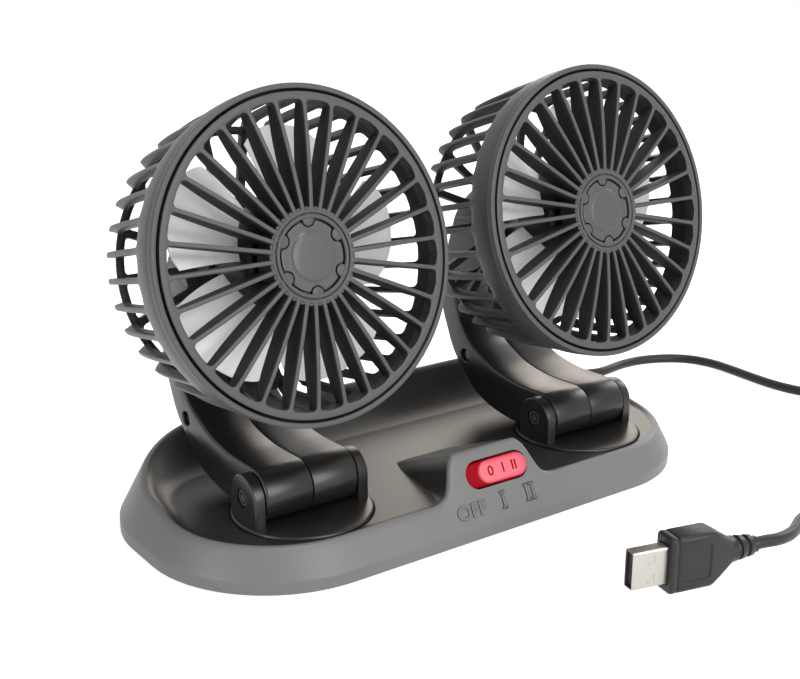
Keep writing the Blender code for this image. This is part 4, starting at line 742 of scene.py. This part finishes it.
def cap_mesh():
    """The notched cap: a thin edge step, a flat ring and a low raised disc with a soft edge."""
    outline = []
    radius, notch_radius = 10.45, 2.32
    for notch in range(NOTCHES):
        middle = tau * (notch + 0.5) / NOTCHES
        half = 2 * asin(notch_radius / 2 / radius) + 0.02
        outline += arc(radius, middle - tau / NOTCHES + half, middle - half, 12)
        centre = polar(NOTCH_CENTRE, middle)
        first = atan2(outline[-1][1] - centre[1], outline[-1][0] - centre[0])
        turn = (first - (middle + pi)) % tau
        if turn > pi:
            turn -= tau
        outline += arc(notch_radius, middle + pi + 0.8 * turn, middle + pi - 0.8 * turn, 8, centre)

    def scaled(share, height):
        return [(x * share, y * share, height) for x, y in outline]

    def circle(r, height):
        return [(r * x / hypot(x, y), r * y / hypot(x, y), height) for x, y in outline]

    rings = [scaled(1.0, 0.4), scaled(1.0, 1.55), scaled(0.993, 1.72), scaled(0.975, 1.8), scaled(0.96, 1.8)]
    rings += [circle(7.8, 1.8), circle(7.65, 1.8), circle(7.5, 1.84), circle(7.15, 2.22), circle(6.8, 2.38),
              circle(6.2, 2.44), circle(4.5, 2.5), circle(2.0, 2.53), circle(0.4, 2.54)]
    return loft(rings)


IMPELLER_TOP = -8.0
IMPELLER_LENGTH = 16.5
IMPELLER_HUB = 14.0
IMPELLER_TIP = 40.0
BLADES = 5
BLADE_SWEEP = radians(62)
BLADE_HEIGHT = 12.5


def blades_mesh():
    """Five swept blades, thick in the middle of the chord and thin at their edges."""
    radial, chordal = 16, 24
    root = IMPELLER_HUB - 0.6
    middle = IMPELLER_TOP - IMPELLER_LENGTH / 2
    parts = []
    for blade in range(BLADES):
        outer, inner = [], []
        for i in range(radial + 1):
            out = i / radial
            radius = root + (IMPELLER_TIP - root) * out
            sweep = BLADE_SWEEP * (1 - 0.12 * out)
            rows = ([], [])
            for j in range(chordal + 1):
                chord = j / chordal - 0.5
                reach = radius * (1 - 0.1 * abs(2 * chord) ** 3 * out)
                angle = tau * blade / BLADES + chord * sweep + 0.12 * out
                height = middle + BLADE_HEIGHT * (chord * (1 - 0.25 * out) + 0.1 * (1 - 4 * chord * chord))
                thick = 0.25 + 0.4 * (1 - abs(2 * chord) ** 2.5) * (1 - 0.35 * out)
                for side, sign in ((0, 1), (1, -1)):
                    rows[side].append((*polar(reach, angle), height + sign * thick))
            outer.append(rows[0])
            inner.append(rows[1])
        columns = chordal + 1
        parts.append(pierced(outer, inner, lambda step, column: column < columns - 1))
    return joined(*parts)


def hub_mesh():
    top, low = IMPELLER_TOP, IMPELLER_TOP - IMPELLER_LENGTH
    profile = [(0, top), (14.4, top), (16.2, top - 0.3), (17.2, top - 1.1), (17.6, top - 2.4), (17.6, low + 0.3),
               (17.4, low), (12.5, low), (12.4, low + 0.3), (12.4, top - 3.6), (1.3, top - 3.6), (1.3, top - 0.8),
               (0, top - 0.8)]
    return revolved(profile, 64)


def motor_mesh():
    low = -CAGE_DEPTH + 2.5 + GAP
    top = low + 24.0
    return revolved([(0, top - 11.5), (1.3, top - 11.5), (1.3, top), (2.6, top), (2.8, top - 0.9), (8.6, top - 0.9),
                     (9.6, top - 1.3), (10.0, top - 2.0), (10.0, top - 5.0), (9.85, top - 5.2), (9.85, top - 5.8),
                     (10.0, top - 6.0), (10.0, low + 1.6), (9.8, low + 0.5), (9.3, low), (0, low)])


def make_heads():
    # The faces inside the cage, the deep sides of the spokes and the cap's lower step take the painted shade colour.
    cage = with_painted_shade(bevelled(rear_cage_mesh(), 0.14, 2, 48),
                     lambda c, n: c.z < -3 and (c.xy.dot(n.xy) < -0.3 * c.xy.length or n.z > 0.5))
    grille = with_painted_shade(bevelled(grille_mesh(), 0.12, 1, 50),
                       lambda c, n: n.z < 0.5 and (c.z < 1.7 or c.xy.length > 14.5))
    cap = with_painted_shade(cap_mesh(), lambda c, n: c.z < 1.6)
    blades = blades_mesh()
    hub = hub_mesh()
    motor = motor_mesh()
    for side, x in SIDES:
        matrix = head_matrix(x)
        head, spin = f"head_{side}", f"impeller_{side}"
        piece(f"cage_{side}", cage, (GREY, PAINTED_SHADE), head, matrix, [f"rear_cage_{side}"])
        piece(f"grille_{side}", grille, (GREY, PAINTED_SHADE), head, matrix, [f"front_grille_{side}"])
        piece(f"cap_{side}", cap, (CAP, PAINTED_SHADE), head, matrix, [f"hub_cap_{side}"])
        piece(f"blades_{side}", blades, WHITE, spin, matrix, [f"impeller_{side}"])
        piece(f"impeller_hub_{side}", hub, BLACK, spin, matrix)
        piece(f"motor_can_{side}", motor, MOTOR_STEEL, head, matrix, [f"motor_{side}"])


make_heads()


# Base cover, repeated from the part with finer steps and rounded edges

WALL = 2.0
RIM_FRONT, RIM_BACK, RIM_POWER = 13.2, 26.2, 3
RIM_WIDTH, RIM_ROUNDING, RIM_CREST = 3.4, 1.2, 0.42
BOWL_RUN, BOWL_CURVE = 1.25, ((0.34, 0.45), (0.67, 0.12))
HUMP_HEIGHT, HUMP_HALF, HUMP_RAMP = 12.8, 25.0, 2.2
HUMP = ((0.0, 1.0), (0.48, 0.99), (0.56, 0.92), (0.625, 0.8), (0.68, 0.58), (0.745, 0.3), (0.83, 0.09),
        (1.0, 0.0))
HUMP_LINE = [tuple(p) for p in smooth_line([(-x, h) for x, h in reversed(HUMP[1:])] + list(HUMP), 5)]
DISC_RADIUS = 22.49
DISC_THICKNESS = 3.2
FACE_LEAN = atan(WALL_LEAN)
FACE_UP = 6.1 + (RIM_FRONT - FOOT_BAND) / cos(FACE_LEAN)
FACE = (place(SWITCH_X, FACE_UP * sin(FACE_LEAN) - BASE_DEPTH / 2, UNDERSIDE + FOOT_BAND + FACE_UP * cos(FACE_LEAN))
        @ turned(pi / 2 - FACE_LEAN, "X"))
ROCKER_LENGTH, ROCKER_WIDTH = 24.4, 8.6
CREST_ROW = 12
LABEL_Y = -10.7


def wall_inset(height):
    return max(height - FOOT_BAND, 0.0) * WALL_LEAN


def rim_height(y, hump):
    front = -BASE_DEPTH / 2 + wall_inset(RIM_FRONT)
    back = BASE_DEPTH / 2 - wall_inset(RIM_BACK)
    share = min(max((y - front) / (back - front), 0.0), 1.0)
    return RIM_FRONT + (RIM_BACK - RIM_FRONT) * share**RIM_POWER + HUMP_HEIGHT * hump


def base_outline():
    """(point, outward normal, hump share) round the foot of the base, from the front counterclockwise."""
    half_x, half_y = BASE_LENGTH / 2 - BASE_CORNER, BASE_DEPTH / 2 - BASE_CORNER
    points = []
    steps = 108
    for i in range(steps):
        x = -half_x + 2 * half_x * i / steps
        points.append(((x, -BASE_DEPTH / 2), (0, -1), line_at(HUMP_LINE, x / HUMP_HALF)))
    corners = ((half_x, -half_y, -1), (half_x, half_y, 0), (-half_x, half_y, 1), (-half_x, -half_y, 2))
    for x, y, quarter in corners:
        for i in range(25):
            angle = pi / 2 * (quarter + i / 24)
            points.append((polar(BASE_CORNER, angle, (x, y)), polar(1, angle), 0.0))
        if quarter == 0:
            points += [((half_x - 2 * half_x * i / 12, BASE_DEPTH / 2), (0, 1), 0.0) for i in range(1, 12)]
    return points[:-1]


def shell_profile(point, normal, hump):
    rim = RIM_FRONT
    for _ in range(20):
        inset = wall_inset(rim - RIM_ROUNDING) + RIM_WIDTH / 2
        rim = rim_height(point[1] - normal[1] * inset, hump)
    shoulder = rim - RIM_ROUNDING
    edge = wall_inset(shoulder)
    inner_edge = edge + RIM_WIDTH
    lip = max(rim - RIM_ROUNDING * 0.75, FLOOR_HEIGHT)
    rise = max(lip - FLOOR_HEIGHT, 0.0)
    straight = min(1.0, 1.6 * hump)
    run = rise * (BOWL_RUN + (HUMP_RAMP - BOWL_RUN) * straight) + RIM_WIDTH / 2
    corners = [(0, 0), (0, FOOT_BAND), (edge, shoulder), (edge + RIM_WIDTH * RIM_CREST, rim), (inner_edge, lip)]
    for along, height in BOWL_CURVE:
        level = height * (1 - straight) + (1 - along) * straight
        corners.append((inner_edge + run * along, FLOOR_HEIGHT + rise * level))
    corners.append((inner_edge + run, FLOOR_HEIGHT))
    outer = rounded_corners(corners, (0.5, 0.8, 0.9, 1.2, 6.0, 6.0))
    outer.append((inner_edge + run + 0.6, FLOOR_HEIGHT))
    high = rim - WALL
    drop = WALL * 1.3
    inner = [(WALL, 0.0), (WALL, FOOT_BAND), (wall_inset(high) + WALL, high)]
    inner += [(inset, height - drop) for inset, height in (corners[-3], corners[-1])]
    return outer, inner


def base_mesh():
    outline = base_outline()
    profiles = [shell_profile(*spot) for spot in outline]

    def ring(which, index):
        made = []
        for (point, normal, _), pair in zip(outline, profiles):
            inset, height = pair[which][index]
            made.append((point[0] - normal[0] * inset, point[1] - normal[1] * inset, UNDERSIDE + height))
        return made

    outer = [ring(0, i) for i in range(len(profiles[0][0]))]
    inner = [ring(1, i) for i in range(len(profiles[0][1]))]
    mesh = loft(list(reversed(inner)) + outer)
    mesh.materials.append(SHELL)
    mesh.materials.append(SHADED_TRAY)
    # The rim crest, the bowl and the tray floor take the darker tray colour, which is painted shade.
    crest = len(inner) + CREST_ROW
    first_of_strips = 2
    for face in list(mesh.polygons):
        row = (face.index - first_of_strips) // len(outline)
        if face.index == 1 or (face.index >= first_of_strips and row >= crest):
            face.material_index = 1
    pad_low = DISC_TOP - DISC_THICKNESS - GAP - WELL_PAD
    pads = [rod(DISC_RADIUS + GAP + 1.6, pad_low, FLOOR_Z - 1.0, 72, None, (x, TURNTABLE_Y, 0)) for _, x in SIDES]
    mesh = cut(mesh, *pads, operation="UNION")
    well_floor = DISC_TOP - DISC_THICKNESS - GAP
    cutters = []
    for _, x in SIDES:
        radius = DISC_RADIUS + GAP
        well = revolved([(0, DISC_TOP + 2), (radius + 0.35, DISC_TOP + 2), (radius + 0.35, FLOOR_Z + 0.02),
                         (radius, FLOOR_Z - 0.35), (radius, well_floor), (0, well_floor)], 96)
        cutters.append(moved(well, place(x, TURNTABLE_Y, 0)))
    window = prism(stadium(ROCKER_LENGTH + 1.2, ROCKER_WIDTH + 0.8), -8, 4)
    cutters.append(moved(window, FACE))
    cutters.append(rod(3.3, -4, 16, 32, turned(pi / 2, "X"), CORD_EXIT))
    return cut(mesh, *cutters)


def lettering(name, text, size, depth, matrix, look, body, thickness):
    """Raised generic lettering, its outline from Blender's own font."""
    curve = bpy.data.curves.new(name, "FONT")
    curve.body = text
    curve.size = size
    curve.extrude = depth
    curve.offset = thickness
    curve.align_x = "CENTER"
    curve.align_y = "CENTER"
    curve.resolution_u = 4
    obj = linked("work", curve)
    bpy.context.view_layer.update()
    mesh = bpy.data.meshes.new_from_object(obj.evaluated_get(bpy.context.evaluated_depsgraph_get()))
    bpy.data.objects.remove(obj, do_unlink=True)
    return piece(name, mesh, look, body, matrix)


def make_base():
    piece("base_shell", base_mesh(), (SHELL, SHADED_TRAY), "base", None, ["base_cover"], 32)
    face = FACE @ place(0, LABEL_Y, 0.02)
    # The wider, lower outline layer in dark grey is painted shadow round the letters; the face layer on it has the
    # shell's grey.
    layers = (("outline", LABEL, 0.14, 0.2, 0.24), ("face", SHELL, -0.1, 0.26, 0.1))
    for layer, look, wider, depth, grow in layers:
        lettering(f"label_off_{layer}", "OFF", 6.8, depth, face @ place(-14.2, 0, 0), look, "base", grow - 0.1)
        for name, spots in (("label_one", (-0.8,)), ("label_two", (9.4, 11.8))):
            strokes = []
            for x in spots:
                for width, low, high in ((0.9, -2.9, 2.9), (2.0, -2.9, -2.2), (2.0, 2.2, 2.9)):
                    half = width / 2 + wider
                    left, right, under, over = x - half, x + half, low - wider, high + wider
                    corners = [(left, under), (right, under), (right, over), (left, over)]
                    strokes.append(prism(corners, -0.3, depth))
            piece(f"{name}_{layer}", joined(*strokes), look, "base", face @ place(0, 0.7, 0))


make_base()


# Rocker: a red pill with a raised lighter paddle on its right

ROCKER = FACE @ place(0, 0, -4.2) @ turned(radians(-8), "Y")


def pill(length, width, levels, x=0.0):
    """A stack of stadiums: each level is (inset, height)."""
    rings = []
    for inset, height in levels:
        rings.append([(x + px, py, height) for px, py in stadium(length - 2 * inset, width - 2 * inset)])
    return loft(rings)


def make_rocker():
    body = pill(ROCKER_LENGTH, ROCKER_WIDTH,
                [(0.4, 0.1), (0.0, 3.5), (0.06, 3.8), (0.25, 4.05), (0.6, 4.2), (1.2, 4.26)])
    piece("rocker_body", body, RED, "rocker", ROCKER, ["switch_rocker"])
    paddle = pill(18.6, 7.6, [(0.0, 3.9), (0.0, 4.5), (0.08, 4.7), (0.3, 4.88), (0.7, 4.98), (1.6, 5.0)], 2.6)
    piece("rocker_paddle", paddle, PINK, "rocker", ROCKER)
    for name, text, x in (("mark_off", "0", -2.2), ("mark_one", "I", 2.6), ("mark_two", "II", 6.8)):
        lettering(name, text, 4.6, 0.05, ROCKER @ place(x, 0, 5.03), RED, "rocker", 0.05)


make_rocker()


# Turntables, ears and arms of each side

EAR_RADIUS, EAR_THICKNESS, EAR_FORWARD = 7.6, 3.7, 0.4
EAR_OUTER = DISC_RADIUS - 1.865
BARREL_RADIUS = 8.5
BOLT_BORE = 1.7
ARM_HALF = 16.6
ARM_REACH = 60.0
BACK_EDGE = ((0.262, -0.09), (0.378, -0.081), (0.508, -0.059), (0.642, -0.012), (0.743, 0.062), (0.835, 0.135),
             (0.888, 0.198), (0.928, 0.268), (0.97, 0.344), (0.995, 0.421), (0.995, 0.515), (0.968, 0.623),
             (0.923, 0.745), (0.867, 0.879), (0.79, 1.057))
FRONT_EDGE = ((0.647, 0.623), (0.747, 0.589), (0.817, 0.542), (0.84, 0.482), (0.83, 0.415), (0.802, 0.352),
              (0.75, 0.291), (0.67, 0.225), (0.572, 0.181), (0.443, 0.139), (0.268, 0.115), (0.118, 0.112))
ARM_SCREW = (0.736, 0.155)
ACROSS = turned(pi / 2, "Y")


def inset_loop(loop, distance):
    """A closed loop of flat points moved inward along its corners' normals."""
    area = sum(a[0] * b[1] - b[0] * a[1] for a, b in zip(loop, loop[1:] + loop[:1]))
    side = 1 if area > 0 else -1
    made = []
    for before, here, after in zip(loop[-1:] + loop[:-1], loop, loop[1:] + loop[:1]):
        along = (Vector(after) - Vector(here)).normalized() + (Vector(here) - Vector(before)).normalized()
        along.normalize()
        made.append((here[0] - side * along[1] * distance, here[1] + side * along[0] * distance))
    return made


def slab(loop, levels):
    """A solid across X: each level is (x, inset of the loop)."""
    return loft([[(x, y, z) for y, z in inset_loop(loop, inset)] for x, inset in levels])


def ear_loop():
    low = -HINGE_HEIGHT - DISC_THICKNESS / 2
    crown = arc(EAR_RADIUS, 0, pi, 32, (-EAR_FORWARD, 0))
    return [(EAR_RADIUS - EAR_FORWARD, low)] + crown + [(-EAR_RADIUS - EAR_FORWARD, low)]


def turntable_mesh():
    r, low = DISC_RADIUS, -DISC_THICKNESS
    end = low - WELL_PAD - GAP / 2
    disc = revolved([(0, 0), (r - 0.7, 0), (r - 0.35, -0.06), (r - 0.1, -0.25), (r, -0.55), (r, low),
                     (7.0, low), (7.0, end), (0, end)], 96)
    inner = EAR_OUTER - EAR_THICKNESS
    spot = (0, HINGE_BACK, HINGE_HEIGHT)
    mesh = cut(disc, rod(BARREL_RADIUS + GAP, -inner - GAP, inner + GAP, 64, ACROSS, spot))
    levels = ((inner, 0.25), (inner + 0.2, 0.0), (EAR_OUTER - 0.6, 0.0), (EAR_OUTER - 0.25, 0.12),
              (EAR_OUTER - 0.06, 0.35), (EAR_OUTER, 0.7))
    ears = [slab(ear_loop(), [(side * x, inset) for x, inset in levels]) for side in (-1, 1)]
    mesh = cut(mesh, *(moved(ear, place(*spot)) for ear in ears), operation="UNION")
    holes = [rod(BOLT_BORE, -EAR_OUTER - 1, EAR_OUTER + 1, 24, ACROSS, spot),
             rod(3.3, -EAR_OUTER - 1, -EAR_OUTER + 2.5, 6, ACROSS, spot),
             rod(3.1, EAR_OUTER - 2.5, EAR_OUTER + 1, 36, ACROSS, spot)]
    return bevelled(cut(mesh, *holes), 0.12, 1, 60)


def arm_loop():
    edge, front = [[(y * ARM_REACH, z * HEAD_RISE) for y, z in shares] for shares in (BACK_EDGE, FRONT_EDGE)]
    barrel = arc(BARREL_RADIUS, pi / 2, radians(308.6), 48)

    def at_head(depth, up):
        return (-HEAD_FORWARD + cos(HEAD_TILT) * depth + sin(HEAD_TILT) * up,
                HEAD_RISE - sin(HEAD_TILT) * depth + cos(HEAD_TILT) * up)

    back_line = smooth_line([barrel[-1]] + edge, 4)[1:]
    face = CAGE_DEPTH + GAP
    return barrel + back_line + [at_head(face, ARM_HALF), at_head(face, -15.0)] + smooth_line(front, 4)


def arm_mesh(side):
    levels = ((ARM_HALF, 1.0), (ARM_HALF - 0.12, 0.5), (ARM_HALF - 0.45, 0.14), (ARM_HALF - 0.95, 0.0),
              (0.55, 0.0), (0.28, 0.1), (0.15, 0.3))
    mesh = slab(arm_loop(), [(side * x, inset) for x, inset in levels])
    low, high = -2 * HEAD_RISE, 2 * ARM_REACH
    wide = ARM_HALF + 3
    outline = [(-wide, low), (wide, low), (wide, 0)] + arc(ARM_HALF, 0, pi, 40) + [(-wide, 0)]
    mask = moved(prism(outline, -high, high), place(0, -HEAD_FORWARD, HEAD_RISE) @ turned(pi / 2 - HEAD_TILT, "X"))
    mesh = cut(mesh, mask, operation="INTERSECT")
    if side < 0:
        spot = (0, ARM_SCREW[0] * ARM_REACH, ARM_SCREW[1] * HEAD_RISE)
        sink = revolved([(0, -13.9), (2.4, -13.9), (2.4, -16.2), (2.9, -16.75), (2.9, -18), (0, -18)], 36)
        mesh = cut(mesh, moved(sink, place(*spot) @ ACROSS))
    return bevelled(mesh, 0.3, 2, 60)


def nut_mesh():
    """A hexagonal nut with its corners turned off, round Z."""
    nut = rod(3.0, -0.9, 0.9, 6)
    cone = revolved([(0, 1.0), (2.55, 1.0), (3.05, 0.55), (3.05, -0.55), (2.55, -1.0), (0, -1.0)], 36)
    return cut(cut(nut, cone, operation="INTERSECT"), rod(BOLT_BORE, -2, 2, 24))


def make_stands():
    table, nut = turntable_mesh(), nut_mesh()
    halves = {"nut": arm_mesh(-1), "bolt": arm_mesh(1)}
    for side, x in SIDES:
        turntable, head = f"turntable_{side}", f"head_{side}"
        piece(f"table_{side}", table, DARK, turntable, place(x, TURNTABLE_Y, DISC_TOP), [f"turntable_{side}"], 35)
        hinge = place(x, HINGE_Y, HINGE_Z)
        for half, mesh in halves.items():
            piece(f"arm_{half}_{side}", mesh, DARK, head, hinge, [f"arm_{half}_half_{side}"], 35)
        spot = place(-EAR_OUTER + 0.4 + 0.9, 0, 0) @ ACROSS
        piece(f"nut_{side}", nut, DARK_STEEL, turntable, hinge @ spot, [f"hinge_nut_{side}"], 30)


make_stands()


# Plug, in its own frame: X back along the plug, Z across its width, Y through its thickness

def rounded_box(width, height, radius, steps=6):
    points = []
    for corner, (sy, sz) in enumerate(((1, 1), (-1, 1), (-1, -1), (1, -1))):
        middle = (sy * (height / 2 - radius), sz * (width / 2 - radius))
        points += arc(radius, pi / 2 * corner, pi / 2 * (corner + 1), steps, middle)
    return points


def sections(*rows):
    """A loft along X: each row is (x, width, height, corner radius)."""
    return loft([[(x, y, z) for y, z in rounded_box(w, h, r)] for x, w, h, r in rows])


def grip_mesh():
    rows = [(12.0, 16.6, 7.2, 1.2), (12.12, 17.3, 7.9, 1.4), (12.4, 17.8, 8.4, 1.5), (12.8, 18.0, 8.6, 1.5),
            (14.2, 18.0, 8.6, 1.5), (14.35, 17.3, 7.9, 1.3), (14.75, 17.3, 7.9, 1.3), (14.9, 18.0, 8.6, 1.5),
            (26.6, 18.0, 8.6, 1.5), (27.5, 17.6, 8.5, 1.7), (28.6, 16.4, 8.4, 2.0), (31.0, 13.4, 8.3, 2.8),
            (33.4, 10.3, 8.1, 3.6), (34.6, 8.8, 8.0, 3.9), (35.2, 8.2, 8.0, 3.95)]
    start = 35.2
    for ring in range(3):
        size = 8.0 * (1 - 0.09 * ring)
        slim = size - 1.6
        rows += [(start + 1.5, size, size, size * 0.495), (start + 1.7, slim, slim, slim * 0.495),
                 (start + 2.7, slim, slim, slim * 0.495)]
        if ring < 2:
            rows.append((start + 2.9, size * 0.96, size * 0.96, size * 0.475))
        start += 3.15
    rows.append((PLUG_LENGTH, 5.2, 5.2, 2.57))
    mesh = sections(*rows)
    panel_outline = [(x + 21.4, z) for z, x in rounded_box(9.4, 11.2, 1.2)]
    cutters = [sections((11.0, 12.6, 5.1, 0.6), (16.3, 12.6, 5.1, 0.6))]
    for low, high in ((-9.0, -3.95), (3.95, 9.0)):
        cutters.append(loft([[(x, y, z) for x, z in panel_outline] for y in (low, high)]))
    return bevelled(cut(mesh, *cutters), 0.14, 1, 50)


def shell_mesh():
    mesh = sections((0.0, 11.7, 4.2, 0.5), (0.25, 12.0, 4.5, 0.6), (16.0, 12.0, 4.5, 0.6))
    cutters = [sections((-1.0, 11.2, 3.7, 0.4), (12.0, 11.2, 3.7, 0.4))]
    for side in (-1, 1):
        outline = [(x + 6.3, z + side * 3.0) for z, x in rounded_box(2.4, 2.4, 0.25, 2)]
        for low, high in ((-4.0, -2.02), (2.02, 4.0)):
            cutters.append(loft([[(x, y, z) for x, z in outline] for y in (low, high)]))
    return bevelled(cut(mesh, *cutters), 0.08, 1, 50)


def make_plug():
    piece("plug_grip", grip_mesh(), BLACK_GLOSS, "base", PLUG_TURN, ["usb_grip"], 35)
    piece("plug_shell", shell_mesh(), NICKEL, "base", PLUG_TURN, ["usb_shell"], 35)
    strip = sections((1.6, 1.0, 0.06, 0.02), (9.0, 1.0, 0.06, 0.02))
    strips = [moved(strip, place(0, -0.38, z)) for z in (-3.5, -1.0, 1.0, 3.5)]
    piece("plug_contacts", joined(*strips), GOLD, "base", PLUG_TURN)


def make_relief():
    length, flange, end = RELIEF_LENGTH, 4.2, 2.7
    start = -(wall_inset(CORD_EXIT[2] - UNDERSIDE + flange) + WALL) - 2 * GAP
    profile = [(0, length), (end - 0.3, length), (end, length - 0.3)]
    for i in range(3):
        near = 1 - (i + 0.5) / 3.5
        radius = end + (flange - end) * (1 - near)
        profile += [(radius - 0.1, length * (near + 0.06)), (radius, length * (near + 0.04)),
                    (radius - 0.5, length * (near - 0.02)), (radius - 0.5, length * (near - 0.05))]
    profile += [(flange - 0.2, length * 0.06), (flange, length * 0.04), (flange, 0), (3.0, 0), (3.0, start),
                (flange, start), (flange, start - 1.5), (0, start - 1.5)]
    turn = place(CORD_EXIT[0], CORD_EXIT[1] + GAP, CORD_EXIT[2]) @ turned(-pi / 2, "X")
    piece("relief", revolved(profile), CORD_LOOK, "base", turn, ["strain_relief"], 35)


make_plug()
make_relief()
